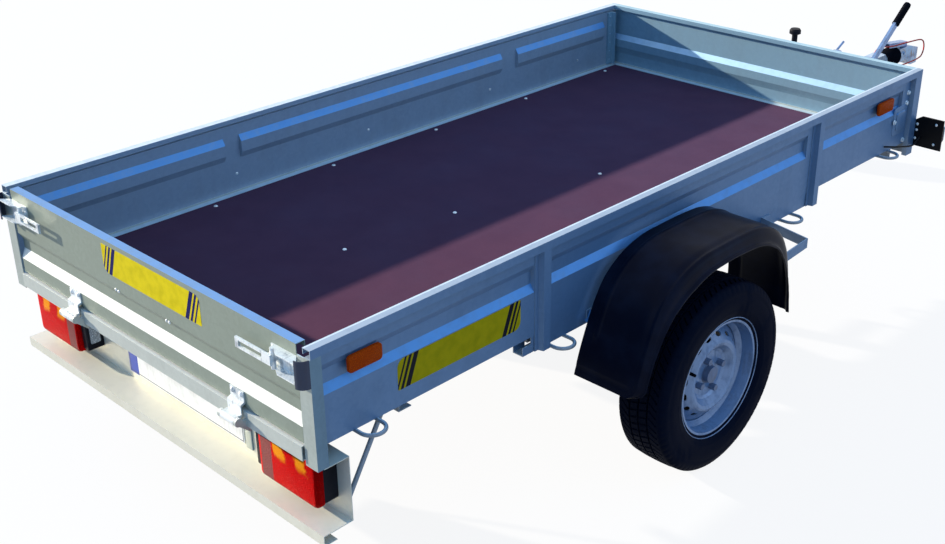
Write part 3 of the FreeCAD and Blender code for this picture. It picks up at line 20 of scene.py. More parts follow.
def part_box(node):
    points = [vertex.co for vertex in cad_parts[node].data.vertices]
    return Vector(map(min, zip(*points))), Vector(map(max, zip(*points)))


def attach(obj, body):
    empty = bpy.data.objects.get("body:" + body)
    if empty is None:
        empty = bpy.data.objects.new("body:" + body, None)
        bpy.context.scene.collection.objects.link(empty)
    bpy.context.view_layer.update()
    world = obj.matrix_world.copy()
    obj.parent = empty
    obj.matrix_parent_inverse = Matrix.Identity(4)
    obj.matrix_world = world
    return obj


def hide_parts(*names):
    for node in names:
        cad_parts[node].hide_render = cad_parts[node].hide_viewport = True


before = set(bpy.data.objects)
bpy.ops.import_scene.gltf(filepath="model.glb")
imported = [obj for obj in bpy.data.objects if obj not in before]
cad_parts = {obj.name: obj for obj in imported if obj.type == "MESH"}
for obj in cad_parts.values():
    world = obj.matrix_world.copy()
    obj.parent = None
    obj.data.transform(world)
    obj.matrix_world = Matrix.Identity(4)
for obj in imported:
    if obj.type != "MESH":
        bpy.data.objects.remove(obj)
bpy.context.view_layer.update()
LOG = logging.getLogger("trailer")

Colour = tuple[float, float, float]
Point = tuple[float, float, float]
Outline = list[tuple[float, float]]
Spots = tuple[tuple[float, float], ...]
Socket = bpy.types.NodeSocket
Piece = bpy.types.Object
FULL_TURN = 2 * math.pi
MILLIMETRE = 0.001
# How far the flat faces of the side sheets lie inside their rims.
SHEET_INSET = 0.0165
# The share of a chamfer that its outer, steeper part takes.
SOFT_SHARE = 0.3
# Outlines of (radius, height) shares: a washer by its bolt's size, and a domed head by its own radius.
WASHER: Spots = ((1.1, 0.0), (1.1, 0.14), (1.0, 0.2), (0.0, 0.2))
DOME: Spots = ((1.0, 0.0), (0.96, 0.2), (0.75, 0.42), (0.4, 0.54), (0.0, 0.58))


class Facing(Enum):
    """The directions that small parts face."""

    RIGHT = (1.0, 0.0, 0.0)
    LEFT = (-1.0, 0.0, 0.0)
    FRONT = (0.0, 1.0, 0.0)
    REAR = (0.0, -1.0, 0.0)
    UP = (0.0, 0.0, 1.0)
    DOWN = (0.0, 0.0, -1.0)


class Side(Enum):
    """The two sides of the trailer, as the sign of X."""

    LEFT = -1
    RIGHT = 1

    @property
    def label(self) -> str:
        """The side's name in node and piece names."""
        return self.name.lower()

    @property
    def out(self) -> Facing:
        """The direction that faces out on this side."""
        return Facing[self.name]

    @property
    def into(self) -> Facing:
        """The direction that faces the middle from this side."""
        return Facing.LEFT if self is Side.RIGHT else Facing.RIGHT


def paint(red: int, green: int, blue: int) -> Colour:
    """Return a linear colour.

    Args:
        red, green, blue: the levels from 0 to 255 as a display shows them.

    Returns:
        The three linear levels from 0 to 1.
    """
    levels = []
    for level in (red, green, blue):
        share = level / 255
        levels.append(share / 12.92 if share <= 0.04045 else ((share + 0.055) / 1.055) ** 2.4)
    return levels[0], levels[1], levels[2]


class Wiring:
    """Adds shader nodes to one node tree and joins their sockets."""

    def __init__(self, tree: bpy.types.NodeTree) -> None:
        """Take the tree that the nodes go into."""
        self.tree = tree

    def add(self, kind: str, *terms: object, **settings: object) -> bpy.types.Node:
        """Return a new node with its first inputs fed in order and the given settings."""
        node = self.tree.nodes.new(kind)
        for name, value in settings.items():
            setattr(node, name, value)
        for socket, term in zip(node.inputs, terms):
            self.feed(socket, term)
        return node

    def feed(self, target: Socket, source: object) -> None:
        """Join a socket to another one, or set it to a plain value.

        Args:
            target: the input socket.
            source: an output socket, a number, a vector or a colour.
        """
        if isinstance(source, Socket):
            self.tree.links.new(source, target)
        elif target.type == "RGBA":
            target.default_value = (*source, 1.0)
        else:
            target.default_value = source

    def fill(self, node: bpy.types.Node, **values: object) -> bpy.types.Node:
        """Feed a node's named inputs, with underscores for the spaces in their names, and return the node."""
        for name, value in values.items():
            self.feed(node.inputs[name.replace("_", " ")], value)
        return node

    def maths(self, operation: str, *terms: object, clamp: bool = False) -> Socket:
        """Return the result of a sum of one to three terms."""
        return self.add("ShaderNodeMath", *terms, operation=operation, use_clamp=clamp).outputs[0]

    def times(self, first: object, second: object, clamp: bool = False) -> Socket:
        """Return the product of two terms."""
        return self.maths("MULTIPLY", first, second, clamp=clamp)

    def plus(self, first: object, second: object, clamp: bool = False) -> Socket:
        """Return the sum of two terms."""
        return self.maths("ADD", first, second, clamp=clamp)

    def minus(self, first: object, second: object) -> Socket:
        """Return the first term less the second."""
        return self.maths("SUBTRACT", first, second)

    def vectors(self, operation: str, *terms: object, give: str = "Vector") -> Socket:
        """Return a named output of a vector sum."""
        return self.add("ShaderNodeVectorMath", *terms, operation=operation).outputs[give]

    def scaled(self, place: object, scale: object) -> Socket:
        """Return a place multiplied by a number."""
        return self.fill(self.add("ShaderNodeVectorMath", place, operation="SCALE"), Scale=scale).outputs[0]

    def blend(self, share: object, low: object, high: object, kind: str = "MIX") -> Socket:
        """Return a colour between two others.

        Args:
            share: how much of the second colour shows, from 0 to 1.
            low, high: the two colours.
            kind: the name of the blend.

        Returns:
            The mixed colour's socket.
        """
        node = self.add("ShaderNodeMix", share, data_type="RGBA", blend_type=kind)
        self.feed(node.inputs[6], low)
        self.feed(node.inputs[7], high)
        return node.outputs[2]

    def noise(self, place: object, scale: object, detail: float = 3.0, rough: float = 0.5) -> Socket:
        """Return soft noise from 0 to 1 at a place."""
        node = self.add("ShaderNodeTexNoise")
        return self.fill(node, Vector=place, Scale=scale, Detail=detail, Roughness=rough).outputs[0]

    def cells(self, place: object, scale: object, feature: str = "F1") -> bpy.types.Node:
        """Return a node of cells at a place, with their colours and distances."""
        return self.fill(self.add("ShaderNodeTexVoronoi", feature=feature), Vector=place, Scale=scale)

    def ramp(self, share: object, low: float, high: float, start: object = 0.0, end: object = 1.0) -> Socket:
        """Return a smooth step of a value.

        Args:
            share: the value.
            low, high: where the step begins and ends.
            start, end: what it gives before and after.

        Returns:
            The stepped value's socket.
        """
        node = self.add("ShaderNodeMapRange", interpolation_type="SMOOTHSTEP")
        return self.fill(node, Value=share, From_Min=low, From_Max=high, To_Min=start, To_Max=end).outputs[0]

    def seen(self) -> Socket:
        """Return 1 for rays that come from the eye, a mirror or glass, and 0 for the rest."""
        path = self.add("ShaderNodeLightPath").outputs
        bounced = self.maths("MAXIMUM", path["Is Glossy Ray"], path["Is Transmission Ray"])
        return self.maths("MAXIMUM", path["Is Camera Ray"], bounced)

    def parts(self, place: object) -> bpy.types.NodeOutputs:
        """Return the X, Y and Z sockets of a place."""
        return self.add("ShaderNodeSeparateXYZ", place).outputs

    def within(self, value: object, low: float, high: float, soft: float) -> Socket:
        """Return 1 where a value lies between two limits and 0 elsewhere, with soft ends."""
        rise = self.ramp(value, low - soft, low + soft)
        return self.times(rise, self.ramp(value, high - soft, high + soft, 1.0, 0.0))


class Effect(Wiring):
    """A shader node group with named inputs and outputs."""

    def __init__(self, name: str, takes: dict[str, object], gives: dict[str, str]) -> None:
        """Make the group.

        Args:
            name: the group's name.
            takes: each input's name and starting value; a colour is a tuple, and a vector is None.
            gives: each output's name and its kind, Float or Color.
        """
        super().__init__(bpy.data.node_groups.new(name, "ShaderNodeTree"))
        for title, start in takes.items():
            kind = {float: "Float", tuple: "Color"}.get(type(start), "Vector")
            socket = self.tree.interface.new_socket(name=title, in_out="INPUT", socket_type="NodeSocket" + kind)
            if start is not None:
                socket.default_value = (*start, 1.0) if kind == "Color" else start
        for title, kind in gives.items():
            self.tree.interface.new_socket(name=title, in_out="OUTPUT", socket_type="NodeSocket" + kind)
        self.takes = self.add("NodeGroupInput").outputs
        self.ending = self.add("NodeGroupOutput")

    def place(self) -> Socket:
        """Return the place measured in the group's own size."""
        return self.scaled(self.takes["Vector"], self.maths("DIVIDE", 1.0, self.takes["Size"]))

    def give(self, **values: object) -> bpy.types.NodeTree:
        """Feed the group's outputs and return its tree."""
        self.fill(self.ending, **values)
        return self.tree


@cache
def spangle_effect() -> bpy.types.NodeTree:
    """Return the group for zinc crystals: a colour that changes from one crystal to the next, and its shade."""
    takes = {"Vector": None, "Size": 0.02, "Light": (0.6, 0.6, 0.6), "Dark": (0.4, 0.4, 0.4), "Contrast": 0.5}
    effect = Effect("zinc_spangle", takes, {"Color": "Color", "Shade": "Float"})
    place = effect.place()
    wobble = effect.scaled(effect.noise(place, 0.8, 2.0), 0.7)
    crystal = effect.cells(effect.vectors("ADD", place, wobble), 1.0)
    level = effect.parts(crystal.outputs["Color"])[0]
    fern = effect.noise(place, 5.0, 4.0, 0.6)
    cloud = effect.noise(place, 0.12, 3.0)
    grouped = effect.plus(effect.times(level, 0.5), effect.times(fern, 0.25))
    grouped = effect.plus(grouped, effect.times(cloud, 0.5))
    shade = effect.plus(effect.times(effect.minus(grouped, 0.62), effect.takes["Contrast"]), 0.5, clamp=True)
    return effect.give(Color=effect.blend(shade, effect.takes["Dark"], effect.takes["Light"]), Shade=shade)


@cache
def weather_effect() -> bpy.types.NodeTree:
    """Return the group for stains that run down a surface: the stained colour and where the stains are."""
    takes = {"Vector": None, "Color": (0.5, 0.5, 0.5), "Stain": (0.1, 0.1, 0.1), "Amount": 0.3, "Size": 0.1}
    effect = Effect("weather_stains", takes, {"Color": "Color", "Mask": "Float"})
    place = effect.place()
    blots = effect.noise(place, 1.0, 6.0, 0.62)
    runs = effect.noise(effect.vectors("MULTIPLY", place, (5.0, 5.0, 0.35)), 1.0, 3.0)
    both = effect.plus(effect.times(blots, 0.65), effect.times(runs, 0.35))
    mask = effect.times(effect.ramp(both, 0.45, 0.68), effect.takes["Amount"], clamp=True)
    return effect.give(Color=effect.blend(mask, effect.takes["Color"], effect.takes["Stain"]), Mask=mask)


@cache
def dust_effect() -> bpy.types.NodeTree:
    """Return the group for dust that lies on faces that look up: the dusted colour and where the dust is."""
    takes = {"Vector": None, "Color": (0.1, 0.1, 0.1), "Dust": (0.3, 0.28, 0.25), "Amount": 0.3, "Size": 0.05}
    effect = Effect("settled_dust", takes, {"Color": "Color", "Mask": "Float"})
    rise = effect.parts(effect.add("ShaderNodeTexCoord").outputs["Normal"])[2]
    patch = effect.ramp(effect.noise(effect.place(), 1.0, 6.0, 0.65), 0.35, 0.75)
    mask = effect.times(effect.times(effect.ramp(rise, 0.1, 0.95), patch), effect.takes["Amount"], clamp=True)
    return effect.give(Color=effect.blend(mask, effect.takes["Color"], effect.takes["Dust"]), Mask=mask)


@cache
def grain_effect() -> bpy.types.NodeTree:
    """Return the group for a fine moulded or cast grain, as a height."""
    effect = Effect("fine_grain", {"Vector": None, "Size": 0.001}, {"Height": "Float"})
    place = effect.place()
    coarse = effect.noise(place, 0.2, 2.0)
    fine = effect.noise(place, 1.0, 4.0, 0.6)
    return effect.give(Height=effect.plus(fine, effect.times(coarse, 0.6)))


class Surface(Wiring):
    """The node tree of one material, with its shader and the place on the piece."""

    def __init__(self, material: bpy.types.Material) -> None:
        """Clear the material and give it one shader."""
        material.use_nodes = True
        super().__init__(material.node_tree)
        self.tree.nodes.clear()
        self.shader = self.add("ShaderNodeBsdfPrincipled")
        self.ending = self.add("ShaderNodeOutputMaterial", self.shader.outputs["BSDF"])
        self.place = self.add("ShaderNodeTexCoord").outputs["Object"]

    def give(self, **values: object) -> None:
        """Set or feed the shader's sockets; underscores in a name stand for spaces."""
        self.fill(self.shader, **values)

    def use(self, tree: bpy.types.NodeTree, **values: object) -> bpy.types.NodeOutputs:
        """Place a group with its values and return its outputs."""
        return self.fill(self.add("ShaderNodeGroup", node_tree=tree), Vector=self.place, **values).outputs

    def weathered(self, colour: object, stain: Colour, amount: float, size: float) -> bpy.types.NodeOutputs:
        """Return a colour with stains, and the mask of the stains."""
        return self.use(weather_effect(), Color=colour, Stain=stain, Amount=amount, Size=size)

    def dusted(self, colour: object, dust: Colour, amount: float, size: float) -> bpy.types.NodeOutputs:
        """Return a colour with dust on its upper faces, and the mask of the dust."""
        return self.use(dust_effect(), Color=colour, Dust=dust, Amount=amount, Size=size)

    def relief(self, height: object, depth: float) -> None:
        """Raise the surface by a height of up to a depth in metres."""
        self.give(Normal=self.fill(self.add("ShaderNodeBump"), Distance=depth, Height=height).outputs[0])

    def grained(self, size: float, depth: float) -> None:
        """Raise a fine grain of a size and depth in metres."""
        self.relief(self.use(grain_effect(), Size=size)["Height"], depth)


@dataclass(frozen=True)
class Finish:
    """A named surface finish that makes its material once."""

    name: str

    def wire(self, surface: Surface) -> None:
        """Join the nodes of the finish."""
        raise NotImplementedError

    @cache
    def material(self) -> bpy.types.Material:
        """Return the finish's material, made at its first use."""
        made = bpy.data.materials.new(self.name)
        self.wire(Surface(made))
        return made


@dataclass(frozen=True)
class Galvanised(Finish):
    """Zinc-dipped steel sheet with its crystals, clouds and stains, and its painted highlights and painted shade."""

    light: Colour
    dark: Colour
    crystal: float = 0.011
    contrast: float = 0.45
    metallic: float = 0.3
    roughness: float = 0.46
    stain: Colour = paint(88, 84, 78)
    staining: float = 0.25
    # Painted highlight colours and amounts for level faces and upward slopes, the strength of the painted shade on
    # faces that look outward, and where the rim's outer strip starts, which gets less of the top highlight.
    top_highlight: Colour = paint(214, 226, 232)
    top_highlight_amount: float = 0.9
    slope_highlight: Colour = paint(214, 226, 232)
    slope_highlight_amount: float = 0.0
    road_film: float = 0.0
    rim_line: float = 0.6505

    def coated(self, surface: Surface, tone: Socket) -> Socket:
        """Return a tone with painted highlights on level faces and upward slopes, and painted shade on faces that
        look outward.

        Args:
            surface: the material's node tree.
            tone: the zinc's own tone.

        Returns:
            The tone with its painted highlights and painted shade.
        """
        facing = surface.parts(surface.add("ShaderNodeTexCoord").outputs["Normal"])
        # Painted shade: faces that look outward are tinted darker and bluer, as if in cool shade.
        if self.road_film:
            across = surface.parts(surface.place)[0]
            rim_highlight_share = surface.ramp(across, self.rim_line, self.rim_line + MILLIMETRE, 1.0, 0.3)
            outer = surface.maths("GREATER_THAN", surface.times(across, facing[0]), 0.1)
            shaded_tone = surface.blend(1.0, tone, (0.46, 0.62, 0.8), "MULTIPLY")
            tone = surface.blend(surface.times(outer, self.road_film), tone, shaded_tone)
        # Painted highlights: upward slopes and level faces are lightened towards highlight colours, broken up by
        # streaky noise.
        streaks = surface.ramp(surface.noise(surface.place, 40.0, 4.0), 0.2, 0.6, 0.7, 1.0)
        lit_slopes = surface.times(surface.within(facing[2], 0.3, 0.8, 0.05), streaks)
        tone = surface.blend(surface.times(lit_slopes, self.slope_highlight_amount), tone, self.slope_highlight)
        level = surface.times(surface.ramp(facing[2], 0.85, 0.97), streaks)
        if self.road_film:
            level = surface.times(level, rim_highlight_share)
        return surface.blend(surface.times(level, self.top_highlight_amount), tone, self.top_highlight)

    def wire(self, surface: Surface) -> None:
        """Join the crystals, the stains, the painted highlights and shade, and a faint relief."""
        zinc = surface.use(spangle_effect(), Size=self.crystal, Light=self.light, Dark=self.dark,
                           Contrast=self.contrast)
        stained = surface.weathered(zinc["Color"], self.stain, self.staining, 0.16)
        surface.give(Base_Color=self.coated(surface, stained["Color"]), Metallic=self.metallic,
                     Specular_IOR_Level=0.2)
        dull = surface.times(stained["Mask"], 0.3)
        shine = surface.ramp(zinc["Shade"], 0.0, 1.0, self.roughness + 0.1, self.roughness - 0.08)
        surface.give(Roughness=surface.plus(shine, dull, clamp=True))
        grain = surface.use(grain_effect(), Size=0.004)
        surface.relief(surface.plus(zinc["Shade"], grain["Height"]), 0.00005)


@dataclass(frozen=True)
class Zinc(Finish):
    """Smooth zinc plating, with a little tarnish in its low spots."""

    bright: Colour
    tarnish: Colour
    roughness: float = 0.28
    metallic: float = 0.55

    def wire(self, surface: Surface) -> None:
        """Join a cloudy tarnish and a fine grain."""
        stained = surface.weathered(self.bright, self.tarnish, 0.8, 0.03)
        surface.give(Base_Color=stained["Color"], Metallic=self.metallic)
        surface.give(Roughness=surface.plus(surface.times(stained["Mask"], 0.25), self.roughness))
        surface.grained(0.0015, 0.00006)


@dataclass(frozen=True)
class FilmPlywood(Finish):
    """Plywood with a dark phenolic film, scuffed along its length and dusty, with a blue sheen that is a painted sky
    reflection.
    """

    film: Colour
    worn: Colour
    dust: Colour
    painted_sky_sheen: Colour = (0.1, 0.4, 1.0)

    def wire(self, surface: Surface) -> None:
        """Join the film's mottle, its scuffs, its press pattern and a blue sheen that is a painted sky reflection."""
        mottle = surface.noise(surface.place, 9.0, 5.0, 0.6)
        tone = surface.blend(surface.ramp(mottle, 0.3, 0.75, 0.0, 0.5), self.film, self.worn)
        along = surface.vectors("MULTIPLY", surface.place, (90.0, 3.0, 1.0))
        scuffs = surface.ramp(surface.noise(along, 1.0, 3.0, 0.6), 0.6, 0.8, 0.0, 0.35)
        tone = surface.blend(scuffs, tone, self.worn)
        dusted = surface.dusted(tone, self.dust, 0.22, 0.25)
        surface.give(Base_Color=dusted["Color"])
        surface.give(Roughness=surface.ramp(mottle, 0.3, 0.7, 0.36, 0.5))
        # Painted reflection: the sheen is tinted blue to stand for a blue sky mirrored in the film.
        surface.give(Specular_IOR_Level=0.0, Sheen_Weight=0.12, Sheen_Roughness=0.5, Sheen_Tint=self.painted_sky_sheen)
        mesh = surface.fill(surface.add("ShaderNodeTexChecker"), Vector=surface.place, Scale=500.0)
        surface.relief(mesh.outputs["Fac"], 0.00005)


@dataclass(frozen=True)
class MouldedPlastic(Finish):
    """Moulded plastic with a fine grain and a little dust."""

    colour: Colour
    roughness: float = 0.35
    grain: float = 0.0015
    dust: Colour = paint(120, 116, 108)
    dusting: float = 0.05
    shine: float = 0.08

    def wire(self, surface: Surface) -> None:
        """Join the tone, the dust and the grain."""
        cloud = surface.noise(surface.place, 14.0, 4.0)
        lighter = tuple(level * 1.5 + 0.004 for level in self.colour)
        tone = surface.blend(surface.ramp(cloud, 0.35, 0.75), self.colour, lighter)
        dusted = surface.dusted(tone, self.dust, self.dusting, 0.06)
        surface.give(Base_Color=dusted["Color"], Specular_IOR_Level=self.shine)
        surface.give(Roughness=surface.plus(surface.times(dusted["Mask"], 0.6), self.roughness))
        surface.grained(self.grain, 0.00005)


@dataclass(frozen=True)
class TyreRubber(Finish):
    """Black tyre rubber, greyer where dust has worked in."""

    colour: Colour
    dust: Colour
    dusting: float = 0.35

    def wire(self, surface: Surface) -> None:
        """Join the rubber's clouds, its dust and its grain."""
        stained = surface.weathered(self.colour, self.dust, self.dusting, 0.07)
        surface.give(Base_Color=stained["Color"], Specular_IOR_Level=0.012)
        surface.give(Roughness=surface.ramp(stained["Mask"], 0.0, 0.4, 0.55, 0.85))
        surface.grained(0.0012, 0.00008)


@dataclass(frozen=True)
class WheelPaint(Finish):
    """Silver wheel paint with fine flakes and brake dust, painted near black behind the disc as shade."""

    colour: Colour
    soot_and_shade: Colour
    # The colour and the depth of the painted shade behind the disc, which makes the vents look dark.
    dark: Colour = paint(10, 11, 16)
    painted_shade_start: float = 0.006

    def wire(self, surface: Surface) -> None:
        """Join the flakes, the dust and the painted shade behind the disc."""
        flakes = surface.parts(surface.cells(surface.place, 1500.0).outputs["Color"])[0]
        lighter = tuple(min(1.0, level * 1.25) for level in self.colour)
        sooty = surface.weathered(surface.blend(flakes, self.colour, lighter), self.soot_and_shade, 0.35, 0.05)
        # Painted shade: everything inboard of a plane just outside the tyre's middle is painted near black.
        low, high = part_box("tyre_right")
        across = surface.maths("ABSOLUTE", surface.parts(surface.place)[0])
        behind = surface.maths("LESS_THAN", across, (low.x + high.x) / 2 + self.painted_shade_start)
        surface.give(Base_Color=surface.blend(behind, sooty["Color"], self.dark), Metallic=0.3,
                     Specular_IOR_Level=0.1)
        surface.give(Roughness=surface.ramp(sooty["Mask"], 0.0, 0.35, 0.34, 0.6))
        surface.grained(0.002, 0.00004)


@dataclass(frozen=True)
class CastIron(Finish):
    """Rough cast or forged steel, dark with some surface rust."""

    colour: Colour
    rust: Colour
    rusting: float = 0.5

    def wire(self, surface: Surface) -> None:
        """Join the casting's grain and its rust."""
        rusty = surface.weathered(self.colour, self.rust, self.rusting, 0.03)
        surface.give(Base_Color=rusty["Color"], Metallic=0.4)
        surface.give(Roughness=surface.ramp(rusty["Mask"], 0.0, 0.5, 0.5, 0.8))
        surface.grained(0.002, 0.0003)


@dataclass(frozen=True)
class HubSteel(CastIron):
    """Bright wheel bolts and cap on a brake drum painted near black as shade."""

    # The painted shade on the drum, and the radius within which the hub is left bright.
    soot_and_shade: Colour = paint(10, 12, 18)
    unshaded_radius: float = 0.068

    def wire(self, surface: Surface) -> None:
        """Join the casting, and paint it near black as shade away from the wheels' axis."""
        super().wire(surface)
        source = surface.shader.inputs["Base Color"].links[0].from_socket
        low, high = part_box("tyre_right")
        spoke = surface.vectors("SUBTRACT", surface.place, (0.0, (low.y + high.y) / 2, (low.z + high.z) / 2))
        flat = surface.vectors("MULTIPLY", spoke, (0.0, 1.0, 1.0))
        reach = surface.vectors("LENGTH", flat, give="Value")
        # Painted shade: beyond that radius the casting is painted near black.
        outer = surface.maths("GREATER_THAN", reach, self.unshaded_radius)
        surface.give(Base_Color=surface.blend(outer, source, self.soot_and_shade), Specular_IOR_Level=0.1)


@dataclass(frozen=True)
class LampLens(Finish):
    """Lens plastic with a clear coat and moulded prisms behind its face."""

    colour: Colour
    deep: Colour
    prism: float = 0.005
    roughness: float = 0.16

    def tint(self, surface: Surface, tone: Socket) -> Socket:
        """Return the lens colour; a lens with windows of other colours changes it here."""
        return tone

    def wire(self, surface: Surface) -> None:
        """Join the prisms, the tone and the coat."""
        prisms = surface.cells(surface.place, 1.0 / self.prism, "DISTANCE_TO_EDGE")
        facet = surface.ramp(prisms.outputs["Distance"], 0.0, 0.35)
        tone = surface.blend(facet, self.deep, self.colour)
        surface.give(Base_Color=self.tint(surface, tone), Specular_IOR_Level=0.02)
        surface.give(Roughness=surface.ramp(facet, 0.0, 1.0, self.roughness + 0.2, self.roughness))
        surface.relief(facet, 0.0004)


@dataclass(frozen=True)
class TailLampLens(LampLens):
    """The red tail lamp lens, with two amber windows and a smoked strip at its inner end."""

    amber: Colour = paint(246, 150, 20)
    smoked: Colour = paint(110, 92, 86)
    inner_edge: float = 0.0
    top: float = 0.0
    smoked_strip: tuple[float, float] = (0.012, 0.052)
    windows: tuple[tuple[float, float], ...] = ((0.064, 0.104), (0.146, 0.180))
    window_drop: float = 0.062
    window_fade: float = 0.02
    lean: float = 0.22

    def tint(self, surface: Surface, tone: Socket) -> Socket:
        """Return the red tone with the amber windows and the smoked strip in it.

        Args:
            surface: the material's node tree.
            tone: the red of the lens.

        Returns:
            The colour of the whole lens.
        """
        across, _, height = surface.parts(surface.place)
        inward = surface.minus(surface.maths("ABSOLUTE", across), self.inner_edge)
        below = surface.minus(self.top, height)
        ripple = surface.times(surface.noise(surface.place, 90.0, 2.0), 0.02)
        strip = surface.within(inward, *self.smoked_strip, 0.002)
        tone = surface.blend(surface.times(strip, 0.75), tone, self.smoked)
        low_edge = surface.plus(below, ripple)
        for start, end in self.windows:
            slanted = surface.plus(surface.minus(inward, surface.times(below, self.lean)), ripple)
            wide = surface.within(slanted, start, end, 0.005)
            tall = surface.ramp(low_edge, self.window_drop - self.window_fade, self.window_drop, 1.0, 0.0)
            tone = surface.blend(surface.times(wide, tall), tone, self.amber)
        return tone


@dataclass(frozen=True)
class StickerFilm(Finish):
    """Coloured film with three slanted dark stripes at each end, in the piece's own axes."""

    ground: Colour
    ink: Colour
    length: float
    field_inset: float = 0.052
    slant: float = 0.38
    stripes: tuple[tuple[float, float], ...] = ((0.0, 0.015), (0.021, 0.030), (0.037, 0.043))
    edge: float = 0.0004

    def wire(self, surface: Surface) -> None:
        """Join the stripes and a faint weathering."""
        across, upward, _ = surface.parts(surface.place)
        sheared = surface.minus(across, surface.times(upward, self.slant))
        past = surface.minus(surface.maths("ABSOLUTE", sheared), self.length / 2 - self.field_inset)
        mask = surface.within(past, *self.stripes[0], self.edge)
        for stripe in self.stripes[1:]:
            mask = surface.plus(mask, surface.within(past, *stripe, self.edge), clamp=True)
        faded = tuple(level * 0.82 for level in self.ground)
        patch = surface.ramp(surface.noise(surface.place, 30.0, 4.0), 0.35, 0.75)
        tone = surface.blend(mask, surface.blend(patch, self.ground, faded), self.ink)
        surface.give(Base_Color=tone, Specular_IOR_Level=0.05)
        surface.give(Roughness=surface.ramp(patch, 0.0, 1.0, 0.4, 0.5))
        surface.grained(0.003, 0.00004)


@dataclass(frozen=True)
class PlateFilm(Finish):
    """A blank white number plate with a blue band at its left end and a thin dark border."""

    white: Colour
    blue: Colour
    border: Colour
    left: float
    right: float
    bottom: float
    top: float
    band: float = 0.044
    margin: float = 0.0035
    line: float = 0.0022
    dirt: Colour = paint(176, 172, 160)

    def wire(self, surface: Surface) -> None:
        """Join the border and the band by their distance from the plate's edges."""
        across, _, height = surface.parts(surface.place)
        ends = surface.maths("MINIMUM", surface.minus(across, self.left), surface.minus(self.right, across))
        sides = surface.maths("MINIMUM", surface.minus(height, self.bottom), surface.minus(self.top, height))
        inward = surface.maths("MINIMUM", ends, sides)
        frame_mask = surface.within(inward, self.margin, self.margin + self.line, 0.0003)
        band_mask = surface.maths("LESS_THAN", surface.minus(across, self.left), self.band)
        dirt = surface.weathered(self.white, self.dirt, 0.35, 0.05)
        tone = surface.blend(band_mask, dirt["Color"], self.blue)
        surface.give(Base_Color=surface.blend(frame_mask, tone, self.border), Specular_IOR_Level=0.1)
        surface.give(Roughness=surface.ramp(dirt["Mask"], 0.0, 0.4, 0.3, 0.5))
        surface.relief(surface.ramp(inward, 0.0, self.margin), 0.0006)


@dataclass(frozen=True)
class StageFloor(Finish):
    """A pale floor that shows white, but keeps the object's shadow."""

    colour: Colour
    thrown: Colour
    glow: float = 0.9
    mottle: float = 0.96

    def wire(self, surface: Surface) -> None:
        """Mix the lit floor with a plain glow for the eye and for mirrors.

        Its own colour shows to them alone, and a darker one is thrown back on the trailer.
        """
        deeper = tuple(self.mottle * level for level in self.colour)
        mottled = surface.blend(surface.noise(surface.place, 2.0), self.colour, deeper)
        light = surface.fill(surface.add("ShaderNodeEmission"), Color=(1.0, 1.0, 1.0), Strength=1.0)
        seen = surface.seen()
        surface.give(Base_Color=surface.blend(seen, self.thrown, mottled), Roughness=0.9)
        mix = surface.add("ShaderNodeMixShader", surface.times(seen, self.glow), surface.shader.outputs["BSDF"],
                          light.outputs[0])
        surface.fill(surface.ending, Surface=mix.outputs[0])


# The side, front and end sheets are one zinc, with tones that differ wall by wall to match how each is lit: the side
# and front copies are bluer, standing for cool shade, and the end copy greyer-green, standing for sunlight.
SIDE_SHEET = Galvanised("side_sheet", paint(160, 174, 188), paint(140, 156, 172), staining=0.1, road_film=1.0,
                        top_highlight=paint(232, 240, 240), slope_highlight=paint(96, 156, 214), slope_highlight_amount=1.0)
FRONT_SHEET = Galvanised("front_sheet", paint(138, 170, 186), paint(118, 150, 168), staining=0.1,
                         top_highlight=paint(196, 222, 222), slope_highlight=paint(160, 196, 222), slope_highlight_amount=1.0)
END_SHEET = Galvanised("end_sheet", paint(144, 154, 142), paint(130, 140, 128), staining=0.06,
                       top_highlight=paint(122, 166, 214), slope_highlight=paint(232, 234, 228), slope_highlight_amount=1.0)
POST_STEEL = Galvanised("post_steel", paint(178, 186, 180), paint(158, 168, 162), crystal=0.008, staining=0.15,
                        road_film=1.0)
DIPPED_STEEL = Galvanised("dipped_steel", paint(160, 170, 178), paint(130, 140, 150), crystal=0.006, roughness=0.5,
                          staining=0.3)
BEAM_STEEL = Galvanised("beam_steel", paint(196, 202, 194), paint(178, 184, 178), crystal=0.007, staining=0.1,
                        top_highlight=paint(236, 236, 230))
COOL_ZINC = Zinc("cool_zinc", paint(126, 156, 196), paint(92, 110, 138), metallic=0.4)
BAR_STEEL = Galvanised("light_bar_steel", paint(226, 224, 208), paint(210, 208, 192), crystal=0.009, staining=0.12,
                       stain=paint(150, 140, 104), top_highlight=paint(236, 232, 214))
ZINC = Zinc("zinc_plating", paint(238, 242, 240), paint(140, 148, 156), metallic=0.3)
WORN_ZINC = Zinc("worn_zinc", paint(150, 178, 206), paint(148, 118, 84), roughness=0.34)
FLOOR_FILM = FilmPlywood("floor_film", paint(98, 52, 56), paint(110, 60, 64), paint(100, 70, 78))
# The fender's navy tint is partly painted sky reflection on the black plastic.
FENDER_PLASTIC = MouldedPlastic("moulded_fender", paint(8, 14, 30), 0.34, dusting=0.0, shine=0.05)
BLACK_PLASTIC = MouldedPlastic("housing_plastic", paint(16, 18, 26), 0.42)
BRACKET_PAINT = MouldedPlastic("bracket_paint", paint(16, 16, 18), 0.38, grain=0.003)
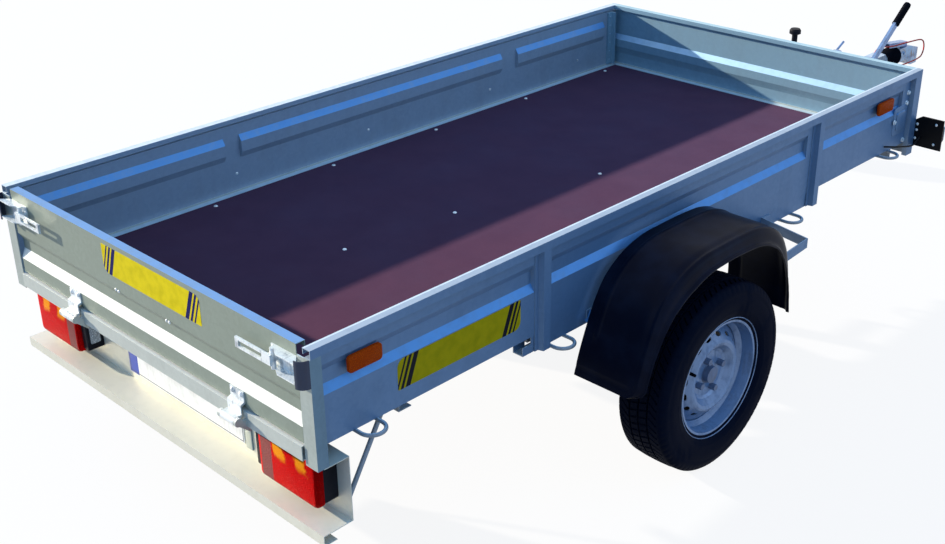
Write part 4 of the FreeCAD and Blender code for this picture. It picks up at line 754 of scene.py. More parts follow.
# The tread's navy tint is partly painted sky reflection on the black rubber.
TREAD_RUBBER = TyreRubber("tread_rubber", paint(13, 18, 32), paint(40, 38, 46))
BLACK_RUBBER = TyreRubber("soft_rubber", paint(15, 16, 22), paint(44, 44, 50), dusting=0.2)
GREY_RUBBER = TyreRubber("grey_rubber", paint(44, 44, 46), paint(96, 90, 84))
WHEEL_SILVER = WheelPaint("wheel_silver", paint(128, 146, 172), paint(66, 72, 86))
HUB_STEEL = HubSteel("hub_casting", paint(112, 124, 146), paint(96, 66, 48), 0.15)
BLUE_BLACK_STEEL = CastIron("blue_black_steel", paint(46, 56, 78), paint(60, 52, 54), 0.2)
AMBER_REFLECTOR = LampLens("amber_reflector", paint(255, 96, 14), paint(226, 62, 10), prism=0.004)
CLEAR_LENS = LampLens("clear_lens", paint(226, 230, 232), paint(150, 156, 160), prism=0.004)
RED_SHEATH = MouldedPlastic("cable_sheath", paint(196, 28, 22), 0.35, dusting=0.1)
CORD_RUBBER = MouldedPlastic("cord_rubber", paint(18, 18, 20), 0.45, dusting=0.15)
PALE_FLOOR = StageFloor("pale_floor", (0.96, 0.92, 0.86), (0.07, 0.07, 0.07))


def stand(place: Sequence[float], facing: Sequence[float], upward: Sequence[float] = (0.0, 0.0, 1.0)) -> Matrix:
    """Return the axes of a part that stands at a place.

    Args:
        place: where its origin lies.
        facing: its local Z.
        upward: roughly its local Y.

    Returns:
        The matrix from its own axes to the frame's.
    """
    ahead = Vector(facing).normalized()
    across = Vector(upward).cross(ahead)
    if across.length < 1e-6:
        across = Vector((0.0, 1.0, 0.0)).cross(ahead)
    across.normalize()
    turn = Matrix((across, ahead.cross(across), ahead)).transposed().to_4x4()
    return Matrix.Translation(Vector(place)) @ turn


def inset(outline: Outline, distance: float) -> Outline:
    """Return a closed outline, listed anticlockwise, moved inwards by a distance."""
    moved = []
    count = len(outline)
    for index, (across, up) in enumerate(outline):
        before = outline[index - 1]
        after = outline[(index + 1) % count]
        first = Vector((before[1] - up, across - before[0])).normalized()
        second = Vector((up - after[1], after[0] - across)).normalized()
        scale = distance / max(0.2, 1.0 + first.dot(second))
        moved.append((across + (first.x + second.x) * scale, up + (first.y + second.y) * scale))
    return moved


def rounded(width: float, height: float, radii: Sequence[float], steps: int = 6) -> Outline:
    """Return a rectangle about the origin with rounded corners.

    Args:
        width, height: its size.
        radii: the corners' radii from the lower left, anticlockwise.
        steps: the points along each corner, less one.

    Returns:
        The outline, anticlockwise.
    """
    corners = ((-1, -1, math.pi), (1, -1, 1.5 * math.pi), (1, 1, 0.0), (-1, 1, 0.5 * math.pi))
    points = []
    for (across, up, start), radius in zip(corners, radii):
        centre = (across * (width / 2 - radius), up * (height / 2 - radius))
        for step in range(steps + 1):
            angle = start + step / steps * math.pi / 2
            points.append((centre[0] + radius * math.cos(angle), centre[1] + radius * math.sin(angle)))
    return points


def scaled(shares: Sequence[tuple[float, float]], across: float, along: float) -> Outline:
    """Return an outline from its shares of two sizes."""
    return [(first * across, second * along) for first, second in shares]


def mirrored(outline: Outline) -> Outline:
    """Return an outline of (radius, distance) points, followed by its mirror image."""
    return outline + [(radius, -along) for radius, along in reversed(outline)]


def corners(spots: Sequence[Vector]) -> tuple[Vector, Vector]:
    """Return the lowest and the highest corner of the box round some points."""
    low, high = (Vector([pick(spot[axis] for spot in spots) for axis in range(3)]) for pick in (min, max))
    return low, high


def side_box(node: str, side: Side) -> tuple[Vector, Vector]:
    """Return the corners of what a fixed part has on one side of the trailer."""
    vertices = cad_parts[node].data.vertices
    return corners([vertex.co for vertex in vertices if vertex.co.x * side.value > 0])


def seat(low: Vector, high: Vector, facing: Facing) -> Matrix:
    """Return the axes at the middle of a box's hidden face, from which a part rises the way that it faces."""
    way = Vector(facing.value)
    half = (high - low) / 2
    return stand((low + high) / 2 - Vector([way[axis] * half[axis] for axis in range(3)]), way)


def linked(name: str, data: bpy.types.ID) -> Piece:
    """Return a new object in the scene for some data."""
    made = bpy.data.objects.new(name, data)
    bpy.context.scene.collection.objects.link(made)
    return made


class Form:
    """Collects the faces of one joined piece."""

    HEAD_RADIUS = 0.92
    HEAD_HEIGHT = 0.8
    HEAD_EDGE = 0.12
    HEAD_TURN = 0.3

    def __init__(self) -> None:
        """Start with no faces."""
        self.mesh = bmesh.new()

    def skin(self, rings: Sequence[Sequence[Vector]], closed: bool = False) -> None:
        """Join rings of points with faces.

        Args:
            rings: rings with the same number of points each.
            closed: whether the last ring joins the first; if not, both are filled.
        """
        made = [[self.mesh.verts.new(point) for point in ring] for ring in rings]
        for low, high in zip(made, made[1:] + made[:1] if closed else made[1:]):
            for index, corner in enumerate(low):
                after = (index + 1) % len(low)
                self.mesh.faces.new((corner, low[after], high[after], high[index]))
        if not closed:
            self.mesh.faces.new(made[0])
            self.mesh.faces.new(made[-1])

    def lathe(self, outline: Outline, at: Matrix, sides: int = 32, closed: bool = False) -> None:
        """Turn an outline of (radius, distance) points about the local Z of a place."""
        angles = [FULL_TURN * step / sides for step in range(sides)]
        self.skin([[at @ Vector((radius * math.cos(angle), radius * math.sin(angle), along)) for angle in angles]
                   for radius, along in outline], closed)

    def slab(self, outline: Outline, depth: float, at: Matrix, edge: float = 0.0) -> None:
        """Raise a flat outline along the local Z of a place, with its upper edge chamfered."""
        levels = [(0.0, outline), (depth - edge, outline)]
        if edge:
            soft = edge * SOFT_SHARE
            levels += [(depth - soft, inset(outline, soft)), (depth, inset(outline, edge))]
        self.skin([[at @ Vector((across, up, level)) for across, up in points] for level, points in levels])

    def bolt(self, place: Sequence[float], facing: Facing, size: float) -> None:
        """Add a hexagon head on its washer.

        Args:
            place: the middle of its seat.
            facing: the way that it faces.
            size: the thread's diameter.
        """
        at = stand(place, facing.value)
        self.lathe(scaled(WASHER, size, size), at, 20)
        angles = [self.HEAD_TURN + math.pi / 3 * corner for corner in range(6)]
        ring = scaled([(math.cos(angle), math.sin(angle)) for angle in angles], *(size * self.HEAD_RADIUS,) * 2)
        self.slab(ring, size * self.HEAD_HEIGHT, at, size * self.HEAD_EDGE)

    def rivet(self, place: Sequence[float], facing: Facing, radius: float) -> None:
        """Add a domed head."""
        self.lathe(scaled(DOME, radius, radius), stand(place, facing.value), 14)

    def piece(self, name: str, finish: Finish, slot: str | None = None, body: str = "chassis", smooth: float = 32.0,
              at: Matrix | None = None, stands_for: str | None = None) -> Piece:
        """Finish the form as a piece that rides on a body.

        Args:
            name: the piece's name.
            finish: its finish.
            slot: the record's material slot, if it has one for the piece; not used.
            body: the body that it moves with.
            smooth: faces that meet at less than this angle, in degrees, are shaded smooth.
            at: the piece's own axes, in which its points are kept.
            stands_for: the fixed part that it replaces, if it does.

        Returns:
            The new object.
        """
        bmesh.ops.remove_doubles(self.mesh, verts=self.mesh.verts, dist=1e-6)
        bmesh.ops.dissolve_degenerate(self.mesh, edges=self.mesh.edges, dist=1e-7)
        bmesh.ops.recalc_face_normals(self.mesh, faces=self.mesh.faces)
        data = bpy.data.meshes.new(name)
        if at is not None:
            self.mesh.transform(at.inverted())
        self.mesh.to_mesh(data)
        self.mesh.free()
        data.materials.append(finish.material())
        data.shade_smooth()
        data.set_sharp_from_angle(angle=math.radians(smooth))
        made = linked(name, data)
        if at is not None:
            made.matrix_world = at
        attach(made, body)
        if stands_for:
            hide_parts(stands_for)
        return made


def dress(finish: Finish, *nodes: str, edge: float = 0.0, smooth: float = 30.0) -> None:
    """Give fixed parts their finish, smooth shading and softened edges.

    Args:
        finish: their finish.
        nodes: the parts' names.
        edge: the width of their softened edges, or zero for none.
        smooth: faces that meet at less than this angle, in degrees, are shaded smooth.
    """
    for node in nodes:
        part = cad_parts[node]
        part.data.materials.clear()
        part.data.materials.append(finish.material())
        part.data.shade_smooth()
        part.data.set_sharp_from_angle(angle=math.radians(smooth))
        if edge:
            bevel = part.modifiers.new("soft_edge", "BEVEL")
            bevel.width = edge
            bevel.segments = 2
            bevel.limit_method = "ANGLE"
            bevel.angle_limit = math.radians(38.0)
            bevel.harden_normals = True


class SubAssembly:
    """A group of parts that are dressed together."""

    def build(self) -> list[Piece]:
        """Dress the fixed parts and return the added pieces."""
        raise NotImplementedError


@dataclass
class LoadBox(SubAssembly):
    """The side and front sheets, the posts and the floor."""

    edge: float = 0.0008
    floor_edge: float = 0.0005
    sheet: float = 0.002
    bolt_size: float = 0.008
    corner_leg: float = 0.022
    corner_depth: float = 0.008
    corner_gap: float = -0.004
    corner_edge: float = 0.001
    corner_levels: tuple[float, float] = (0.545, 0.756)
    corner_rivets: int = 6
    corner_rivet: float = 0.004
    plate_bolts: tuple[Point, ...] = ((0.6535, 2.588, 0.7085), (0.6535, 2.583, 0.6735), (0.658, 2.505, 0.624),
                                      (0.6535, 2.589, 0.54))
    plate_centre: tuple[float, float] = (2.549, 0.621)
    plate_size: tuple[float, float] = (0.09, 0.1)
    plate_corner: float = 0.012
    plate_levels: tuple[float, float] = (0.002, 0.0064)
    plate_edges: tuple[float, float] = (0.001, 0.003)
    boss_shares: tuple[float, float] = (0.62, 0.66)
    floor_screws: Spots = ((-0.065, 0.695), (-0.022, 1.095), (0.098, 1.638))
    screw_columns: tuple[float, ...] = (-0.6, 0.6)
    screw_rows: int = 6
    screw_margin: float = 0.12
    screw_radius: float = 0.0065
    rivet_rows: tuple[float, ...] = (0.2, 0.75, 1.3, 1.9, 2.4)
    rivet_height: float = 0.6
    rivet_radius: float = 0.005

    def __post_init__(self) -> None:
        """Find the box's rear face and the side sheets' flat outer and inner faces in the frame."""
        low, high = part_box("side_wall_right")
        self.rear = low.y
        self.outer = high.x - SHEET_INSET
        self.inner = self.outer - self.sheet

    def build(self) -> list[Piece]:
        """Dress the sheets, posts and floor, and add their bolts, plates and screws."""
        dress(SIDE_SHEET, "side_wall_left", "side_wall_right", "front_posts", "mid_posts", edge=self.edge)
        dress(FRONT_SHEET, "front_wall", edge=self.edge)
        dress(POST_STEEL, "rear_posts", edge=self.edge)
        dress(FLOOR_FILM, "floor_panel", edge=self.floor_edge)
        dress(POST_STEEL, "floor_angles")
        return [self.side_plates(), self.side_bolts(), self.screws(), self.rivets(), self.corner_angles()]

    def side_plates(self) -> Piece:
        """Return the two raised plates on the outside of the side sheets near the front."""
        form = Form()
        for side in Side:
            middle = (side.value * self.outer, self.rear + self.plate_centre[0], self.plate_centre[1])
            at = stand(middle, side.out.value)
            for shares, level, edge in zip(((1.0, 1.0), self.boss_shares), self.plate_levels, self.plate_edges):
                size = [share * length for share, length in zip(shares, self.plate_size)]
                form.slab(rounded(*size, (self.plate_corner,) * 4), level, at, edge)
        return form.piece("front_side_plates", SIDE_SHEET, "galvanised_steel")

    def side_bolts(self) -> Piece:
        """Return the bolts of the front corners."""
        form = Form()
        for side in Side:
            for across, place, height in self.plate_bolts:
                form.bolt((side.value * across, self.rear + place, height), side.out, self.bolt_size)
        return form.piece("side_bolts", ZINC, "zinc_plated_steel")

    def screws(self) -> Piece:
        """Return the screw heads in the floor."""
        form = Form()
        low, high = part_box("floor_panel")
        places = [(across, self.rear + along) for across, along in self.floor_screws]
        for row in range(self.screw_rows):
            along = low.y + self.screw_margin + (high.y - low.y - 2 * self.screw_margin) * row / (self.screw_rows - 1)
            places += [(across, along) for across in self.screw_columns]
        for across, along in places:
            form.rivet((across, along, high.z), Facing.UP, self.screw_radius)
        return form.piece("floor_screws", ZINC, "zinc_plated_steel")

    def corner_angles(self) -> Piece:
        """Return the riveted corner pieces inside the front wall, folded round the sheets' swages."""
        form = Form()
        low, high = self.corner_levels
        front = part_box("front_wall")[0].y + self.corner_gap
        face, back = self.inner - self.corner_depth, front + self.corner_depth
        for side in Side:
            points = [(self.inner, front - self.corner_leg), (face, front - self.corner_leg), (face, front),
                      (self.inner - self.corner_leg, front), (self.inner - self.corner_leg, back), (self.inner, back)]
            outline = scaled(points, side.value, 1.0)
            form.slab(outline, high - low, Matrix.Translation((0.0, 0.0, low)), self.corner_edge)
            for step in range(self.corner_rivets):
                height = low + (high - low) * (step + 0.5) / self.corner_rivets
                place = (side.value * face, front - self.corner_leg / 2, height)
                form.rivet(place, side.into, self.corner_rivet)
        return form.piece("corner_angles", FRONT_SHEET, "galvanised_steel")

    def rivets(self) -> Piece:
        """Return the rivets on the inside of the side sheets, low above the floor strips."""
        form = Form()
        for side in Side:
            for row in self.rivet_rows:
                place = (side.value * self.inner, self.rear + row, self.rivet_height)
                form.rivet(place, side.into, self.rivet_radius)
        return form.piece("wall_rivets", ZINC, "zinc_plated_steel")


@dataclass
class Sticker:
    """A striped film sticker on a flat sheet."""

    name: str
    centre: Point
    facing: Facing
    body: str
    finish: StickerFilm
    radii: tuple[float, float, float, float]
    height: float = 0.079
    thickness: float = 0.0004

    def build(self) -> Piece:
        """Return the sticker, with two of its corners cut round."""
        at = stand(self.centre, self.facing.value)
        form = Form()
        form.slab(rounded(self.finish.length, self.height, self.radii), self.thickness, at)
        return form.piece(self.name, self.finish, body=self.body, at=at)


@dataclass
class Tailgate(SubAssembly):
    """The drop tailgate with its hinges and latches, and the beam below it."""

    edge: float = 0.0008
    fitting_edge: float = 0.0006
    keeper_edge: float = 0.0005
    rivet_radius: float = 0.0045
    rivet_places: Spots = ((-0.114, 0.653), (-0.101, 0.652), (0.112, 0.648), (0.124, 0.648))
    sticker_centre: tuple[float, float] = (0.055, 0.729)
    sticker_length: float = 0.424
    sticker_radii: tuple[float, float, float, float] = (0.024, 0.003, 0.018, 0.003)
    hinge_bolt: float = 0.007
    hinge_bolt_step: float = 0.016
    hinge_bolt_drop: float = 0.009
    leaf: float = 0.003

    def __post_init__(self) -> None:
        """Find the panel's outer face in the frame."""
        self.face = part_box("tailgate_panel")[0].y

    def build(self) -> list[Piece]:
        """Dress the tailgate and add its sticker, rivets and hinge bolts."""
        dress(END_SHEET, "tailgate_panel", edge=self.edge)
        dress(ZINC, "tailgate_hinges", "tailgate_latches", edge=self.fitting_edge)
        dress(BLUE_BLACK_STEEL, "latch_keepers", edge=self.keeper_edge)
        dress(BEAM_STEEL, "hinge_beam", edge=self.edge)
        return [self.sticker(), self.bolts()]

    def sticker(self) -> Piece:
        """Return the yellow sticker near the tailgate's rim."""
        across, height = self.sticker_centre
        film = StickerFilm("tailgate_film", paint(226, 204, 22), paint(14, 16, 84), self.sticker_length)
        centre = (across, self.face, height)
        return Sticker("tailgate_sticker", centre, Facing.REAR, "tailgate", film, self.sticker_radii).build()

    def bolts(self) -> Piece:
        """Return the rivets in the panel and the bolts through the hinge leaves."""
        form = Form()
        for across, height in self.rivet_places:
            form.rivet((across, self.face, height), Facing.REAR, self.rivet_radius)
        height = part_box("tailgate_hinges")[1].z - self.hinge_bolt_drop
        for side in Side:
            low, high = side_box("tailgate_hinges", side)
            for step in (-self.hinge_bolt_step, self.hinge_bolt_step):
                place = ((low.x + high.x) / 2 + step, self.face - self.leaf, height)
                form.rivet(place, Facing.REAR, self.hinge_bolt)
        return form.piece("tailgate_rivets", ZINC, "zinc_plated_steel", "tailgate")


@dataclass
class RearLights(SubAssembly):
    """The light bar with its lamps, number plate and label."""

    edge: float = 0.0008
    plate_edge: float = 0.0005
    lens_corner: float = 0.014
    lens_rings: Spots = ((0.0, 0.0), (0.012, 0.0), (0.016, 0.0012), (0.0195, 0.004), (0.021, 0.011))
    housing_step: float = 0.0015
    plate_lamp_corner: float = 0.004
    plate_lamp_edge: float = 0.003
    window_size: tuple[float, float] = (0.03, 0.062)
    window_depth: float = 0.0012
    window_edge: float = 0.0005
    label_size: tuple[float, float] = (0.115, 0.06)
    label_centre: tuple[float, float] = (0.005, 0.05)
    label_corner: float = 0.002
    label_depth: float = 0.0004
    shelf_drop: float = 0.0215
    strap_size: tuple[float, float, float] = (0.026, 0.132, 0.004)
    strap_corner: float = 0.003
    strap_edge: float = 0.001
    strap_offset: tuple[float, float] = (0.022, 0.006)
    strap_bolt: float = 0.006
    strap_bolt_rise: float = 0.014

    def build(self) -> list[Piece]:
        """Dress the bar, its stays and the plate, and build the lamps."""
        dress(BAR_STEEL, "light_bar", edge=self.edge)
        dress(DIPPED_STEEL, "light_bar_stays", smooth=40.0)
        low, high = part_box("number_plate")
        film = PlateFilm("plate_film", paint(238, 238, 234), paint(22, 66, 168), paint(24, 26, 32), low.x, high.x,
                         low.z, high.z)
        dress(film, "number_plate", edge=self.plate_edge)
        added = [self.label(), self.plate_lamp_housings(), self.plate_lamp_lenses(), self.bar_strap()]
        for side in Side:
            added += [self.lens(side), self.housing(side)]
        return added

    def lens(self, side: Side) -> Piece:
        """Return a tail lamp's lens, rounded towards the rear."""
        low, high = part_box("tail_lamp_" + side.label)
        lens_depth = self.lens_rings[-1][0]
        start = seat(low, high, Facing.REAR) @ Matrix.Translation((0.0, 0.0, high.y - low.y - lens_depth))
        outline = rounded(high.x - low.x, high.z - low.z, (self.lens_corner,) * 4)
        form = Form()
        form.skin([[start @ Vector((across, up, level)) for across, up in (inset(outline, step) if step else outline)]
                   for level, step in self.lens_rings])
        inner = min(abs(low.x), abs(high.x))
        finish = TailLampLens("tail_lens", paint(236, 4, 4), paint(196, 0, 2), inner_edge=inner, top=high.z)
        return form.piece("tail_lamp_lens_" + side.label, finish, "red_lens", smooth=50.0)

    def housing(self, side: Side) -> Piece:
        """Return a tail lamp's black housing between its lens and the bar."""
        node = "tail_lamp_" + side.label
        low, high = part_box(node)
        size = (high.x - low.x - 2 * self.housing_step, high.z - low.z - 2 * self.housing_step)
        form = Form()
        form.slab(rounded(*size, (self.lens_corner,) * 4), high.y - low.y - self.lens_rings[-1][0],
                  seat(low, high, Facing.REAR))
        return form.piece("tail_lamp_housing_" + side.label, BLACK_PLASTIC, "black_plastic", stands_for=node)

    def plate_lamp_housings(self) -> Piece:
        """Return the two black housings beside the tail lamps."""
        form = Form()
        for side in Side:
            low, high = side_box("plate_lamps", side)
            outline = rounded(high.x - low.x, high.z - low.z, (self.plate_lamp_corner,) * 4)
            form.slab(outline, high.y - low.y, seat(low, high, Facing.REAR), self.plate_lamp_edge)
        return form.piece("plate_lamp_housings", BLACK_PLASTIC, "black_plastic", stands_for="plate_lamps")

    def plate_lamp_lenses(self) -> Piece:
        """Return the small clear windows that look in at the number plate."""
        form = Form()
        for side in Side:
            low, high = side_box("plate_lamps", side)
            outline = rounded(*self.window_size, (self.plate_lamp_corner,) * 4)
            at = seat(low, high, side.into) @ Matrix.Translation((0.0, 0.0, high.x - low.x))
            form.slab(outline, self.window_depth, at, self.window_edge)
        return form.piece("plate_lamp_lenses", CLEAR_LENS, "white_plate")

    def label(self) -> Piece:
        """Return the small blank label on the bar's shelf."""
        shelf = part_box("number_plate")[0].z - self.shelf_drop
        place = (self.label_centre[0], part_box("light_bar")[0].y + self.label_centre[1], shelf)
        at = stand(place, Facing.UP.value, (0.0, 1.0, 0.0))
        form = Form()
        form.slab(rounded(*self.label_size, (self.label_corner,) * 4), self.label_depth, at)
        yellow = paint(236, 206, 92)
        return form.piece("shelf_label", StickerFilm("label_film", yellow, yellow, 0.5), at=at)

    def bar_strap(self) -> Piece:
        """Return the upright strap between the hinge beam and the bar, beside the plate's right end."""
        form = Form()
        low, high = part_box("number_plate")
        width, height, depth = self.strap_size
        across = high.x + self.strap_offset[0]
        at = stand((across, high.y, (low.z + high.z) / 2 + self.strap_offset[1]), Facing.REAR.value)
        form.slab(rounded(width, height, (self.strap_corner,) * 4), depth, at, self.strap_edge)
        form.bolt((across, high.y - depth, high.z + self.strap_bolt_rise), Facing.REAR, self.strap_bolt)
        return form.piece("bar_strap", POST_STEEL, "galvanised_steel")


@dataclass
class Undercarriage(SubAssembly):
    """The rails, crossmembers, drawbar, axle and brakes."""

    edge: float = 0.001
    brake_edge: float = 0.0005
    bolt_size: float = 0.012
    axle_bolt: Point = (0.632, 0.03, 0.006)
    bar_inset: float = 0.03
    bar_front: float = 0.06

    def build(self) -> list[Piece]:
        """Dress the frame's steel and add its bolts."""
        dress(SIDE_SHEET, "frame_rail_left", "frame_rail_right", edge=self.edge)
        dress(DIPPED_STEEL, "crossmembers", "front_beam", "drawbar_left", "drawbar_right", "axle_beam", "swing_arms",
              edge=self.edge)
        dress(DIPPED_STEEL, "brake_plates", edge=self.brake_edge)
        return [self.bolts()]

    def bolts(self) -> Piece:
        """Return the bolts through the drawbar's tubes and the axle's brackets."""
        form = Form()
        low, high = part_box("axle_beam")
        beam_low, beam_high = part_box("front_beam")
        bar_low, bar_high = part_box("drawbar_right")
        share = (beam_low.y - bar_low.y) / (bar_high.y - bar_low.y)
        beside = (bar_high.x - self.bar_inset) * (1 - share) + self.bar_front * share
        across, margin, drop = self.axle_bolt
        places = [(across, low.y + margin, high.z - drop), (across, high.y - margin, high.z - drop),
                  (beside, (beam_low.y + beam_high.y) / 2, bar_low.z)]
        for side in Side:
            for place in places:
                form.bolt((side.value * place[0], *place[1:]), Facing.DOWN, self.bolt_size)
        return form.piece("frame_bolts", ZINC, "zinc_plated_steel")


@dataclass
class TreadPattern:
    """The tread's ribs across the tyre and its pitches around it."""

    pitches: int = 76
    rib_edges: tuple[float, ...] = (-0.0575, -0.0315, -0.0255, -0.003, 0.003, 0.0255, 0.0315, 0.0575)
    groove_depth: float = 0.0075
    groove_wall: float = 0.0012
    plain_edge: float = 0.003
    crown_drop: float = 0.003
    sipe_depth: float = 0.005
    slant: float = 0.4
    slant_run: float = 0.03
    middle_half: float = 0.035
    outer_slant: float = -0.4
    stations: Spots = ((0.0, 0.0), (0.7, 0.0), (0.78, 1.0), (0.92, 1.0))
    shoulder: tuple[float, float] = (0.86, 0.94)
    shoulder_radius: float = 0.9
    shoulder_cut: float = 0.0012

    def outline(self, reach: float) -> list[tuple[float, float, float]]:
        """Return the tread from left to right.

        Args:
            reach: the tyre's radius.

        Returns:
            Points of (distance across, radius, depth of the cuts there).
        """
        edge = self.rib_edges[-1]
        wall, cut = self.groove_wall, self.sipe_depth
        points = []
        for index, across in enumerate(self.rib_edges[1:-1]):
            radius = reach - self.crown_drop * (across / edge) ** 2
            deep = radius - self.groove_depth
            into = -1 if index % 2 else 1
            ledge = [(across - into * wall * 2, radius, cut), (across, radius, 0.0),
                     (across + into * wall, deep, 0.0)]
            points += ledge[::into]
        radius = reach - self.crown_drop
        left = [(-edge, radius, 0.0), (self.plain_edge - edge, radius, cut)]
        return left + points + [(-across, radius, depth) for across, radius, depth in reversed(left)]

    def lean(self, across: float) -> float:
        """Return how far the cuts at a distance across lie ahead, in pitches."""
        return self.slant * across / self.slant_run * (1.0 if abs(across) < self.middle_half else self.outer_slant)


@dataclass
class Wheel(SubAssembly):
    """One road wheel: its tyre, rim and hub."""

    side: Side
    tread: TreadPattern = field(default_factory=TreadPattern)
    edge: float = 0.0006
    smooth: float = 35.0
    bead: Spots = ((-0.006, -0.012), (-0.001, -0.0015), (0.0015, 0.0035), (0.0045, 0.008))
    wall: Spots = ((0.955, 0.17), (0.968, 0.19), (0.968, 0.21), (0.985, 0.3), (0.999, 0.42), (1.0, 0.5), (0.992, 0.6),
                   (0.975, 0.68), (0.98, 0.7), (0.955, 0.78), (0.92, 0.86), (0.87, 0.925), (0.81, 0.963))
    valve_angle: float = math.radians(155.0)
    valve_circle: float = 0.118
    valve_seat: float = 0.028
    valve_outline: Spots = ((0.0075, -0.012), (0.0075, -0.002), (0.005, 0.004), (0.0045, 0.022), (0.0042, 0.03),
                            (0.0, 0.03))

    def __post_init__(self) -> None:
        """Find the wheel's centre and sizes in the frame."""
        low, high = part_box("tyre_" + self.side.label)
        self.centre = (low + high) / 2
        self.radius = (high.z - low.z) / 2
        self.half = (high.x - low.x) / 2
        rim_low, rim_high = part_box("rim_" + self.side.label)
        self.flange = (rim_high.z - rim_low.z) / 2
        self.rim_half = (rim_high.x - rim_low.x) / 2
        self.body = self.side.label + "_wheel"

    def build(self) -> list[Piece]:
        """Dress the rim and hub and build the tyre and its valve."""
        dress(WHEEL_SILVER, "rim_" + self.side.label, edge=self.edge, smooth=self.smooth)
        dress(HUB_STEEL, "hub_" + self.side.label, edge=self.edge, smooth=self.smooth)
        return [self.tyre(), self.valve()]

    def outline(self) -> list[tuple[float, float, float]]:
        """Return the tyre from its left bead to its right one, as (distance across, radius, depth of cuts) points."""
        rise = self.radius - self.flange
        side = [(self.rim_half + across, self.flange + up, 0.0) for across, up in self.bead]
        for across, up in self.wall:
            radius = self.flange + rise * up
            low, high = self.tread.shoulder
            ribbed = low < across < high and radius > self.radius * self.tread.shoulder_radius
            side.append((self.half * across, radius, self.tread.shoulder_cut if ribbed else 0.0))
        left = [(-across, radius, depth) for across, radius, depth in side]
        return left + self.tread.outline(self.radius) + side[::-1]

    def tyre(self) -> Piece:
        """Return the tyre with its grooves, slanted sipes and ribbed shoulders."""
        outline = self.outline()
        rings = []
        for pitch in range(self.tread.pitches):
            for share, state in self.tread.stations:
                ring = []
                for across, radius, depth in outline:
                    angle = FULL_TURN * (pitch + share + self.tread.lean(across)) / self.tread.pitches
                    reach = radius - depth * state
                    ring.append(self.centre + Vector((across, reach * math.sin(angle), reach * math.cos(angle))))
                rings.append(ring)
        form = Form()
        form.skin(rings, closed=True)
        return form.piece("tyre_tread_" + self.side.label, TREAD_RUBBER, "tyre_rubber", self.body, smooth=38.0,
                          stands_for="tyre_" + self.side.label)

    def valve(self) -> Piece:
        """Return the valve stem that comes out of the wheel's disc."""
        form = Form()
        spot = Vector((self.side.value * self.valve_seat, self.valve_circle * math.cos(self.valve_angle),
                       self.valve_circle * math.sin(self.valve_angle)))
        form.lathe(self.valve_outline, stand(self.centre + spot, self.side.out.value), 16)
        return form.piece("valve_" + self.side.label, BLACK_RUBBER, "black_rubber", self.body)


